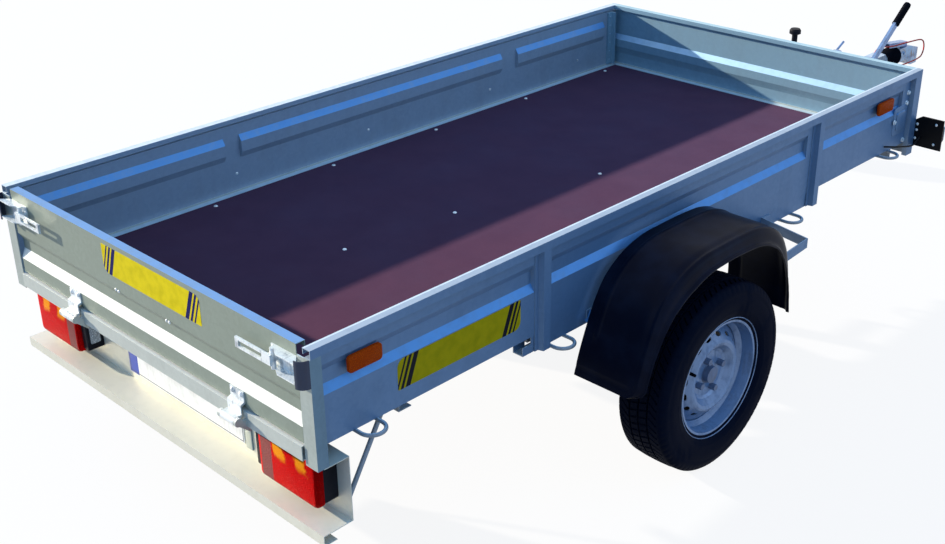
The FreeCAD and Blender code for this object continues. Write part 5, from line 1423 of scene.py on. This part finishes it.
@dataclass
class Fender(SubAssembly):
    """One moulded fender, with its bead and its flared lip, and its stays' bolts.

    The crown is a list of (distance ahead of the axle, height) points at the inner edge, the skirt one of (share of
    the way along the crown, depth of the lip) points, and the lip one of (across, down) shares from the shoulder.
    """

    side: Side
    crown: Spots = (
        (-0.374, 0.367), (-0.356, 0.426), (-0.329, 0.494), (-0.3, 0.556), (-0.266, 0.606), (-0.222, 0.642),
        (-0.168, 0.668), (-0.102, 0.683), (-0.03, 0.686), (0.07, 0.686), (0.15, 0.68), (0.212, 0.66), (0.262, 0.624),
        (0.296, 0.572), (0.314, 0.506), (0.321, 0.44), (0.321, 0.367))
    skirt: Spots = (
        (0.0, 0.014), (0.1, 0.016), (0.17, 0.026), (0.25, 0.044), (0.33, 0.051), (0.42, 0.046), (0.5, 0.043),
        (0.6, 0.046), (0.7, 0.053), (0.8, 0.05), (0.88, 0.036), (1.0, 0.014))
    lip: Spots = (
        (0.14, 0.03), (0.28, 0.085), (0.38, 0.1), (0.47, 0.06), (0.56, 0.07), (0.64, 0.16), (0.72, 0.32), (0.77, 0.5),
        (0.79, 0.68), (0.82, 0.8), (0.88, 0.86), (0.94, 0.86), (0.985, 0.9), (1.0, 0.96), (0.985, 1.0))
    shoulder: float = 0.169
    shoulder_round: tuple[float, float] = (0.006, -0.0004)
    sheet: float = 0.003
    bead_centre: float = 0.038
    bead_half: float = 0.011
    bead_points: tuple[float, ...] = (-0.008, -0.004, 0.0, 0.004, 0.008)
    bead_height: float = 0.003
    bead_start: float = 0.1
    bead_run: float = 0.02
    hem: float = 0.02
    hem_half: float = 0.006
    hem_depth: float = 0.0012
    corner: float = 0.03
    corner_least: float = 0.12
    curve_steps: int = 12
    step: float = 0.007
    bolt_size: float = 0.008
    bolt_inset: float = 0.05
    bolt_steps: tuple[float, float] = (0.0, 0.07)

    def __post_init__(self) -> None:
        """Find the fender's node, inner edge, width and front in the frame."""
        self.node = "fender_" + self.side.label
        low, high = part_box(self.node)
        self.inner = min(abs(low.x), abs(high.x))
        self.width = high.x - low.x
        self.front = high.y

    def rings(self) -> list[tuple[Vector, Vector]]:
        """Return the crown's points and outward directions, evenly spaced along a smooth curve."""
        low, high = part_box("tyre_" + self.side.label)
        axle = (low.y + high.y) / 2
        spots = [Vector((0.0, axle + ahead, height)) for ahead, height in self.crown]
        spots = [spots[0] * 2 - spots[1], *spots, spots[-1] * 2 - spots[-2]]
        fine = []
        for before, start, end, after in zip(spots, spots[1:], spots[2:], spots[3:]):
            for index in range(self.curve_steps):
                share = index / self.curve_steps
                bend = before * 2 - start * 5 + end * 4 - after
                twist = start * 3 - before - end * 3 + after
                fine.append(0.5 * (start * 2 + (end - before) * share + bend * share ** 2 + twist * share ** 3))
        fine.append(spots[-2])
        made = []
        for before, spot, after in zip(fine[:1] + fine, fine, fine[1:] + fine[-1:]):
            ahead = (after - before).normalized()
            made.append((spot, Vector((0.0, -ahead.z, ahead.y))))
        return made

    def section(self, share: float, run: float) -> Outline:
        """Return the fender's section as (distance from its inner edge, lift) points.

        Args:
            share: how far along the crown it is, from 0 to 1.
            run: the distance from the rear foot.

        Returns:
            The outer surface's points, from the inner edge to the lip.
        """
        deep = float(np.interp(share, *zip(*self.skirt)))
        lift = self.bead_height * min(max((run - self.bead_start) / self.bead_run, 0.0), 1.0)
        hem = -self.hem_depth * max(0.0, 1.0 - abs(run - self.hem) / self.hem_half)
        points = [(0.0, hem), (self.bead_centre - self.bead_half, hem)]
        for across in self.bead_points:
            rise = lift * math.cos(across / self.bead_half * math.pi / 2)
            points.append((self.bead_centre + across, hem + rise))
        before, drop = self.shoulder_round
        points += [(self.bead_centre + self.bead_half, hem), (self.shoulder - before, hem),
                   (self.shoulder, hem + drop)]
        tight = max(math.sqrt(1.0 - (1.0 - min(run / self.corner, 1.0)) ** 2), self.corner_least)
        rest = (self.width - self.shoulder) * tight
        return points + [(self.shoulder + rest * across, -deep * down * tight) for across, down in self.lip]

    def shell(self) -> Piece:
        """Return the fender's moulded shell."""
        spots = self.rings()
        reach = [0.0]
        for (before, _), (after, _) in zip(spots, spots[1:]):
            reach.append(reach[-1] + (after - before).length)
        rings = []
        for index in range(round(reach[-1] / self.step) + 1):
            run = min(index * self.step, reach[-1])
            spot, outward = spots[min(bisect.bisect_left(reach, run), len(spots) - 1)]
            line = self.section(run / reach[-1], run)
            under = []
            for (back, low), (across, lift), (ahead, high) in zip(line[:1] + line, line, line[1:] + line[-1:]):
                along = Vector((ahead - back, high - low)).normalized()
                under.append((across + along.y * self.sheet, lift - along.x * self.sheet))
            ring = []
            for across, lift in line + under[::-1]:
                edge = Vector((self.side.value * (self.inner + max(across, 0.0)), spot.y, spot.z))
                ring.append(edge + outward * lift)
            rings.append(ring)
        form = Form()
        form.skin(rings)
        return form.piece("fender_shell_" + self.side.label, FENDER_PLASTIC, "fender_plastic", smooth=60.0,
                          stands_for=self.node)

    def build(self) -> list[Piece]:
        """Return the shell and the bolts that hold it to its stays."""
        form = Form()
        across = self.inner + self.width / 2 - self.bolt_inset
        low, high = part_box("fender_stays")
        for step in self.bolt_steps:
            place = (self.side.value * (across + step), self.front, (low.z + high.z) / 2)
            form.bolt(place, Facing.FRONT, self.bolt_size)
        return [self.shell(), form.piece("fender_bolts_" + self.side.label, ZINC, "zinc_plated_steel")]


@dataclass
class Coupling(SubAssembly):
    """The overrun coupling with its bellows, head, handbrake lever and fittings."""

    body_edge: float = 0.001
    head_edge: float = 0.0012
    lever_edge: float = 0.0008
    collar: Spots = ((0.62, 0.0), (0.86, 0.0), (0.86, 0.006))
    pleats: int = 7
    pleat_margin: float = 0.008
    pleat: Spots = ((0.76, 0.0), (0.8, 0.12), (0.985, 0.42), (1.0, 0.5), (0.985, 0.58), (0.8, 0.88))
    grip_angle: float = math.radians(37.8)
    grip_radius: float = 0.016
    grip_length: float = 0.118
    grip_foot: Spots = ((0.7, 0.0), (0.98, 0.002), (0.98, 0.01))
    grip_head: Spots = ((0.98, 0.012), (0.86, 0.003), (0.5, 0.0), (0.0, 0.0))
    grip_ribs: int = 9
    grip_start: float = 0.012
    grip_margin: float = 0.026
    grip_rib: Spots = ((0.86, 0.0), (0.86, 0.3), (0.97, 0.42), (0.97, 0.9))
    bolt_size: float = 0.01
    plate_bolts: tuple[float, float, float] = (0.07, 0.018, 0.047)
    head_bolts: tuple[float, float, float] = (0.024, 0.014, 0.042)
    head_bolt_height: float = 0.452

    def build(self) -> list[Piece]:
        """Dress the coupling's steel and build its rubber parts and bolts."""
        dress(DIPPED_STEEL, "coupling_body", edge=self.body_edge)
        dress(WORN_ZINC, "coupling_head", edge=self.head_edge)
        dress(COOL_ZINC, "coupling_handle", "handbrake_lever", edge=self.lever_edge)
        return [self.bellows(), self.grip(), self.bolts()]

    def bellows(self) -> Piece:
        """Return the pleated rubber bellows."""
        low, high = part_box("bellows")
        outer = (high.z - low.z) / 2
        length = high.y - low.y
        collar = scaled(self.collar, outer, 1.0)
        outline = list(collar)
        pitch = (length - 2 * self.pleat_margin) / self.pleats
        for pleat in range(self.pleats):
            start = self.pleat_margin + pitch * pleat
            outline += [(radius, start + along) for radius, along in scaled(self.pleat, outer, pitch)]
        outline += [(radius, length - along) for radius, along in reversed(collar)]
        form = Form()
        form.lathe(outline, seat(low, high, Facing.FRONT), 48)
        return form.piece("bellows_pleats", BLACK_RUBBER, "black_rubber", smooth=60.0, stands_for="bellows")

    def grip(self) -> Piece:
        """Return the ribbed grip on the handbrake lever."""
        low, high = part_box("handbrake_grip")
        along = Vector((0.0, math.cos(self.grip_angle), math.sin(self.grip_angle)))
        start = (low + high) / 2 - along * (self.grip_length / 2)
        outline = scaled(self.grip_foot, self.grip_radius, 1.0)
        pitch = (self.grip_length - self.grip_margin) / self.grip_ribs
        for rib in range(self.grip_ribs):
            place = self.grip_start + pitch * rib
            outline += [(radius, place + run) for radius, run in scaled(self.grip_rib, self.grip_radius, pitch)]
        outline += [(radius, self.grip_length - run) for radius, run in scaled(self.grip_head, self.grip_radius, 1.0)]
        form = Form()
        form.lathe(outline, stand(start, along, (1.0, 0.0, 0.0)), 32)
        return form.piece("grip_ribs", BLACK_RUBBER, "black_rubber", smooth=40.0, stands_for="handbrake_grip")

    def bolts(self) -> Piece:
        """Return the bolts through the coupling's plate and neck."""
        form = Form()
        low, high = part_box("coupling_body")
        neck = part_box("coupling_head")[0].y
        for side in Side:
            across, *steps = self.plate_bolts
            for step in steps:
                form.bolt((side.value * across, low.y + step, high.z), Facing.UP, self.bolt_size)
            across, *steps = self.head_bolts
            for step in steps:
                form.bolt((side.value * across, neck + step, self.head_bolt_height), side.out, self.bolt_size)
        return form.piece("coupling_bolts", WORN_ZINC, "zinc_plated_steel")


@dataclass
class JockeyWheel(SubAssembly):
    """The jockey wheel's tube, crank, fork and roller."""

    edge: float = 0.0008
    smooth: float = 40.0
    hub_share: float = 0.62
    bore: float = 0.0068
    hub_radius: float = 0.015
    rim_lap: float = 0.001
    tyre_foot: float = 0.8
    tyre_shares: Spots = ((0.8, 0.92), (0.86, 1.0), (0.93, 0.92), (0.985, 0.62), (1.0, 0.2))
    hub_levels: tuple[float, float] = (0.98, 0.4)
    disc_shares: Spots = ((0.55, 0.25), (0.8, 0.5))
    rim_level: float = 0.86

    def build(self) -> list[Piece]:
        """Dress the tube, crank and fork and build the roller."""
        dress(COOL_ZINC, "jockey_clamp", "jockey_tube", "jockey_crank", "jockey_fork", edge=self.edge,
              smooth=self.smooth)
        dress(BLACK_PLASTIC, "jockey_knob", edge=self.edge, smooth=self.smooth)
        return [self.roller_tyre(), self.roller_rim()]

    def roller(self, outline: Outline, sides: int) -> Form:
        """Return a form turned about the roller's axis from the left half of its closed outline."""
        low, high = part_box("jockey_wheel")
        form = Form()
        form.lathe(mirrored(outline), stand((low + high) / 2, Facing.RIGHT.value), sides, closed=True)
        return form

    def sizes(self) -> tuple[float, float, float]:
        """Return the roller's radius, its rim's radius and half its width."""
        low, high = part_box("jockey_wheel")
        radius = (high.z - low.z) / 2
        return radius, radius * self.hub_share, (high.x - low.x) / 2

    def roller_tyre(self) -> Piece:
        """Return the roller's solid rubber tyre."""
        radius, inner, half = self.sizes()
        outline = [(inner, -half * self.tyre_foot)] + scaled(self.tyre_shares, radius, -half)
        return self.roller(outline, 56).piece("roller_tyre", GREY_RUBBER, "black_rubber", "jockey_roller",
                                              smooth=50.0, stands_for="jockey_wheel")

    def roller_rim(self) -> Piece:
        """Return the roller's pressed steel rim with its hub."""
        _, inner, half = self.sizes()
        outer, ledge = (-half * level for level in self.hub_levels)
        outline = [(self.bore, outer), (self.hub_radius, outer), (self.hub_radius, ledge)]
        outline += scaled(self.disc_shares, inner, -half) + [(inner + self.rim_lap, -half * self.rim_level)]
        return self.roller(outline, 48).piece("roller_rim", ZINC, "zinc_plated_steel", "jockey_roller",
                                              smooth=self.smooth)


@dataclass
class Fittings(SubAssembly):
    """The reflectors, rope hooks, markers and the side's sticker."""

    edge: float = 0.0008
    reflector_corner: float = 0.009
    reflector_edge: float = 0.0015
    reflector_base: tuple[float, float, float] = (0.012, 0.007, 0.004)
    reflector_lens: tuple[float, float, float] = (0.008, 0.0, 0.0)
    marker_corner: float = 0.007
    marker_housing: tuple[float, float, float, float] = (0.0, 0.6, 0.0, 0.001)
    marker_lens: tuple[float, float, float, float] = (0.6, 1.0, 0.002, 0.004)
    sticker_centre: tuple[float, float] = (0.455, 0.608)
    sticker_length: float = 0.408
    sticker_radii: tuple[float, float, float, float] = (0.003, 0.022, 0.003, 0.022)
    bracket_bolts: Spots = ((0.677, 0.589), (0.677, 0.568), (0.675, 0.538), (0.745, 0.6), (0.744, 0.529))
    bracket_bolt: float = 0.005

    def build(self) -> list[Piece]:
        """Dress the hooks and brackets and build the reflectors, lamps and the sticker."""
        dress(DIPPED_STEEL, "rope_hooks_left", "rope_hooks_right", smooth=45.0)
        dress(SIDE_SHEET, "fender_stays", edge=self.edge)
        dress(BRACKET_PAINT, "marker_brackets", edge=self.edge)
        return [self.reflector_bases(), self.reflectors(), self.marker_housings(), self.marker_lenses(),
                self.bolts(), self.sticker()]

    def reflector_shell(self, back: float, front: float, step: float) -> Form:
        """Return the form of the four reflectors' bases or lenses.

        Args:
            back, front: where it begins and ends, behind the reflector's face.
            step: how far it stands in from the reflector's outline.

        Returns:
            The four shells.
        """
        groups: dict[tuple[Side, bool], list[Vector]] = {}
        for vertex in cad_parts["side_reflectors"].data.vertices:
            side = Side.RIGHT if vertex.co.x > 0 else Side.LEFT
            groups.setdefault((side, vertex.co.y > 0), []).append(vertex.co)
        form = Form()
        for (side, _), spots in groups.items():
            low, high = corners(spots)
            place = (low + high) / 2
            place.x = side.value * (max(abs(low.x), abs(high.x)) - back)
            outline = rounded(high.y - low.y - 2 * step, high.z - low.z - 2 * step,
                              (self.reflector_corner - step,) * 4)
            form.slab(outline, back - front, stand(place, side.out.value), self.reflector_edge)
        return form

    def reflector_bases(self) -> Piece:
        """Return the dark shells that hold the side reflectors."""
        form = self.reflector_shell(*self.reflector_base)
        return form.piece("side_reflector_bases", BLACK_PLASTIC, "black_plastic")

    def reflectors(self) -> Piece:
        """Return the four amber side reflectors."""
        form = self.reflector_shell(*self.reflector_lens)
        return form.piece("side_reflector_lenses", AMBER_REFLECTOR, "amber_lens", stands_for="side_reflectors")

    def marker_shell(self, start: float, end: float, step: float, edge: float) -> Form:
        """Return the form of both marker lamps' housings or lenses.

        Args:
            start, end: the shares of the lamp's depth that it fills.
            step: how far it stands in from the lamp's outline.
            edge: the width of its chamfer.

        Returns:
            The two shells.
        """
        form = Form()
        for side in Side:
            low, high = side_box("marker_lamps", side)
            depth = high.y - low.y
            at = seat(low, high, Facing.FRONT) @ Matrix.Translation((0.0, 0.0, depth * start))
            outline = rounded(high.x - low.x - 2 * step, high.z - low.z - 2 * step, (self.marker_corner,) * 4)
            form.slab(outline, depth * (end - start), at, edge)
        return form

    def marker_housings(self) -> Piece:
        """Return the marker lamps' black housings."""
        form = self.marker_shell(*self.marker_housing)
        return form.piece("marker_housings", BLACK_PLASTIC, "black_plastic", stands_for="marker_lamps")

    def marker_lenses(self) -> Piece:
        """Return the marker lamps' clear lenses."""
        return self.marker_shell(*self.marker_lens).piece("marker_lenses", CLEAR_LENS, "white_plate")

    def bolts(self) -> Piece:
        """Return the bright bolt heads on the marker brackets."""
        form = Form()
        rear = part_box("marker_brackets")[0].y
        for side in Side:
            for across, height in self.bracket_bolts:
                form.rivet((side.value * across, rear, height), Facing.REAR, self.bracket_bolt)
        return form.piece("bracket_bolts", ZINC, "zinc_plated_steel")

    def sticker(self) -> Piece:
        """Return the yellow sticker on the right side sheet."""
        low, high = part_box("side_wall_right")
        along, height = self.sticker_centre
        # The ground is warmer than the tailgate sticker's to offset the cool shade on this side, so it is partly
        # painted light.
        film = StickerFilm("side_film", paint(240, 186, 18), paint(22, 22, 34), self.sticker_length)
        centre = (high.x - SHEET_INSET, low.y + along, height)
        return Sticker("side_sticker_right", centre, Facing.RIGHT, "chassis", film, self.sticker_radii).build()


@dataclass
class Cord:
    """One cord along its route, which goes back into the trailer at its far end."""

    name: str
    node: str
    route: list[Point]
    radius: float
    length: float
    finish: Finish
    slot: str
    stiffness: str

    def build(self) -> Piece:
        """Return the cord as one smooth spline."""
        curve = bpy.data.curves.new(self.name, "CURVE")
        curve.dimensions = "3D"
        spline = curve.splines.new("NURBS")
        spline.points.add(len(self.route) - 1)
        for control, spot in zip(spline.points, self.route):
            control.co = (*spot, 1.0)
        spline.order_u = 3
        spline.use_endpoint_u = True
        spline.resolution_u = 8
        curve.bevel_depth = self.radius
        curve.bevel_resolution = 4
        curve.use_fill_caps = True
        curve.materials.append(self.finish.material())
        made = linked(self.name, curve)
        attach(made, "chassis")
        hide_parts(self.node)
        return made


@dataclass
class Cords(SubAssembly):
    """The breakaway cable at the coupling and the cord of the right marker lamp."""

    middle: float = 1960.5
    breakaway: list[Point] = field(default_factory=lambda: [
        (14, 3562, 485.7), (14, 3565, 502), (15, 3576, 516), (17, 3594, 524), (20, 3624, 523),
        (24, 3668, 512), (27, 3722, 507), (30, 3776, 505), (34, 3828, 502), (38, 3878, 500),
        (42, 3925, 496), (44, 3947, 485), (45, 3958, 463), (47, 3953, 438), (49, 3935, 421),
        (52, 3911, 418), (57, 3868, 419), (60, 3812, 421), (61, 3752, 424), (60, 3696, 427),
        (59, 3642, 428), (56, 3594, 428), (50, 3556, 429), (40, 3530, 430), (30.1, 3516, 430)])
    marker: list[Point] = field(default_factory=lambda: [
        (655.8, 2460, 549), (666, 2471, 548.5), (676, 2484, 547), (684, 2502, 544.5), (689, 2525, 540),
        (691, 2552, 534), (692, 2580, 528), (692, 2602, 527), (692, 2620, 533), (692, 2634, 542), (692, 2639, 544)])

    def placed(self, route: list[Point]) -> list[Point]:
        """Return a route in the frame's metres, from millimetres ahead of the box's rear face."""
        return [(x * MILLIMETRE, (y - self.middle) * MILLIMETRE, z * MILLIMETRE) for x, y, z in route]

    def build(self) -> list[Piece]:
        """Return the two cords."""
        pull = Cord("breakaway_line", "breakaway_cable", self.placed(self.breakaway), 0.003, 0.898, RED_SHEATH,
                    "red_sheath", "medium")
        lead = Cord("marker_line", "marker_cord", self.placed(self.marker), 0.003, 0.192, CORD_RUBBER,
                    "black_rubber", "medium")
        return [pull.build(), lead.build()]


@dataclass
class Stage:
    """The camera, the lamps, the world and the floor."""

    camera_place: Point = (2.5349, -3.3375, 2.0833)
    azimuth: float = math.radians(45.15)
    elevation: float = math.radians(26.12)
    roll: float = math.radians(-0.90)
    lens: float = 48.57
    sun_direction: Point = (3.2, 1.15, -1.0)
    sun_strength: float = 7.5
    sun_angle: float = math.radians(0.8)
    sun_colour: Colour = (1.0, 0.9, 0.75)
    soft_place: Point = (6.5, 4.5, 2.2)
    soft_aim: Point = (0.0, -0.5, 0.6)
    soft_size: tuple[float, float] = (4.5, 1.6)
    soft_power: float = 50.0
    soft_colour: Colour = (0.35, 0.62, 1.0)
    fill: Colour = (0.2, 0.5, 1.0)
    fill_strength: float = 0.95
    floor_size: float = 60.0
    floor_drop: float = 0.0005

    def build(self) -> None:
        """Make everything that isn't part of the trailer."""
        self.camera()
        self.lamps()
        self.world()
        self.floor()
        bpy.context.scene.view_settings.view_transform = "Standard"

    def camera(self) -> None:
        """Place the camera at the photograph's viewpoint."""
        data = bpy.data.cameras.new("camera")
        data.lens = self.lens
        back = Vector((math.sin(self.azimuth) * math.cos(self.elevation),
                       -math.cos(self.azimuth) * math.cos(self.elevation), math.sin(self.elevation)))
        right = (-back).cross(Vector((0.0, 0.0, 1.0))).normalized()
        upward = right.cross(-back)
        across = right * math.cos(self.roll) + upward * math.sin(self.roll)
        above = upward * math.cos(self.roll) - right * math.sin(self.roll)
        turn = Matrix((across, above, back)).transposed().to_4x4()
        camera = linked("camera", data)
        camera.matrix_world = Matrix.Translation(Vector(self.camera_place)) @ turn
        bpy.context.scene.camera = camera

    def lamp(self, name: str, kind: str, power: float, colour: Colour, direction: Vector) -> Piece:
        """Return a lamp that shines in a direction.

        Args:
            name: the lamp's name.
            kind: its kind, SUN or AREA.
            power: its strength, or its power in watts.
            colour: its colour.
            direction: the way that it shines.

        Returns:
            The lamp.
        """
        data = bpy.data.lights.new(name, kind)
        data.energy = power
        data.color = colour
        lamp = linked(name, data)
        lamp.rotation_mode = "QUATERNION"
        lamp.rotation_quaternion = direction.to_track_quat("-Z", "Y")
        return lamp

    def lamps(self) -> None:
        """Hang a low key lamp at the left and a cool soft box at the right."""
        key = self.lamp("key", "SUN", self.sun_strength, self.sun_colour, Vector(self.sun_direction))
        key.data.angle = self.sun_angle
        aim = Vector(self.soft_aim) - Vector(self.soft_place)
        soft = self.lamp("side_box", "AREA", self.soft_power, self.soft_colour, aim)
        soft.data.shape = "RECTANGLE"
        soft.data.size, soft.data.size_y = self.soft_size
        soft.location = self.soft_place

    def world(self) -> None:
        """Give the eye and mirrors a white surround, and everything else a cool fill."""
        world = bpy.data.worlds.new("surround")
        world.use_nodes = True
        bpy.context.scene.world = world
        world.node_tree.nodes.clear()
        sky = Wiring(world.node_tree)
        seen = sky.seen()
        background = sky.fill(sky.add("ShaderNodeBackground"), Color=sky.blend(seen, self.fill, (1.0, 1.0, 1.0)),
                              Strength=sky.ramp(seen, 0.0, 1.0, self.fill_strength, 1.0))
        sky.add("ShaderNodeOutputWorld", background.outputs[0])

    def floor(self) -> None:
        """Lay the pale floor under the wheels."""
        form = bmesh.new()
        bmesh.ops.create_grid(form, x_segments=1, y_segments=1, size=self.floor_size)
        data = bpy.data.meshes.new("stage_floor")
        form.to_mesh(data)
        form.free()
        data.materials.append(PALE_FLOOR.material())
        floor = linked("stage_floor", data)
        floor.location.z = -self.floor_drop


def main() -> None:
    """Dress every sub-assembly in turn and report each piece."""
    logging.basicConfig(level=logging.INFO, format="%(name)s: %(message)s")
    Stage().build()
    groups: list[SubAssembly] = [Cords(), LoadBox(), Tailgate(), RearLights(), Undercarriage()]
    for side in Side:
        groups += [Wheel(side), Fender(side)]
    groups += [Coupling(), JockeyWheel(), Fittings()]
    for group in groups:
        for made in group.build():
            LOG.info("%s: %s", type(group).__name__, made.name)


if __name__ == "__main__":
    main()
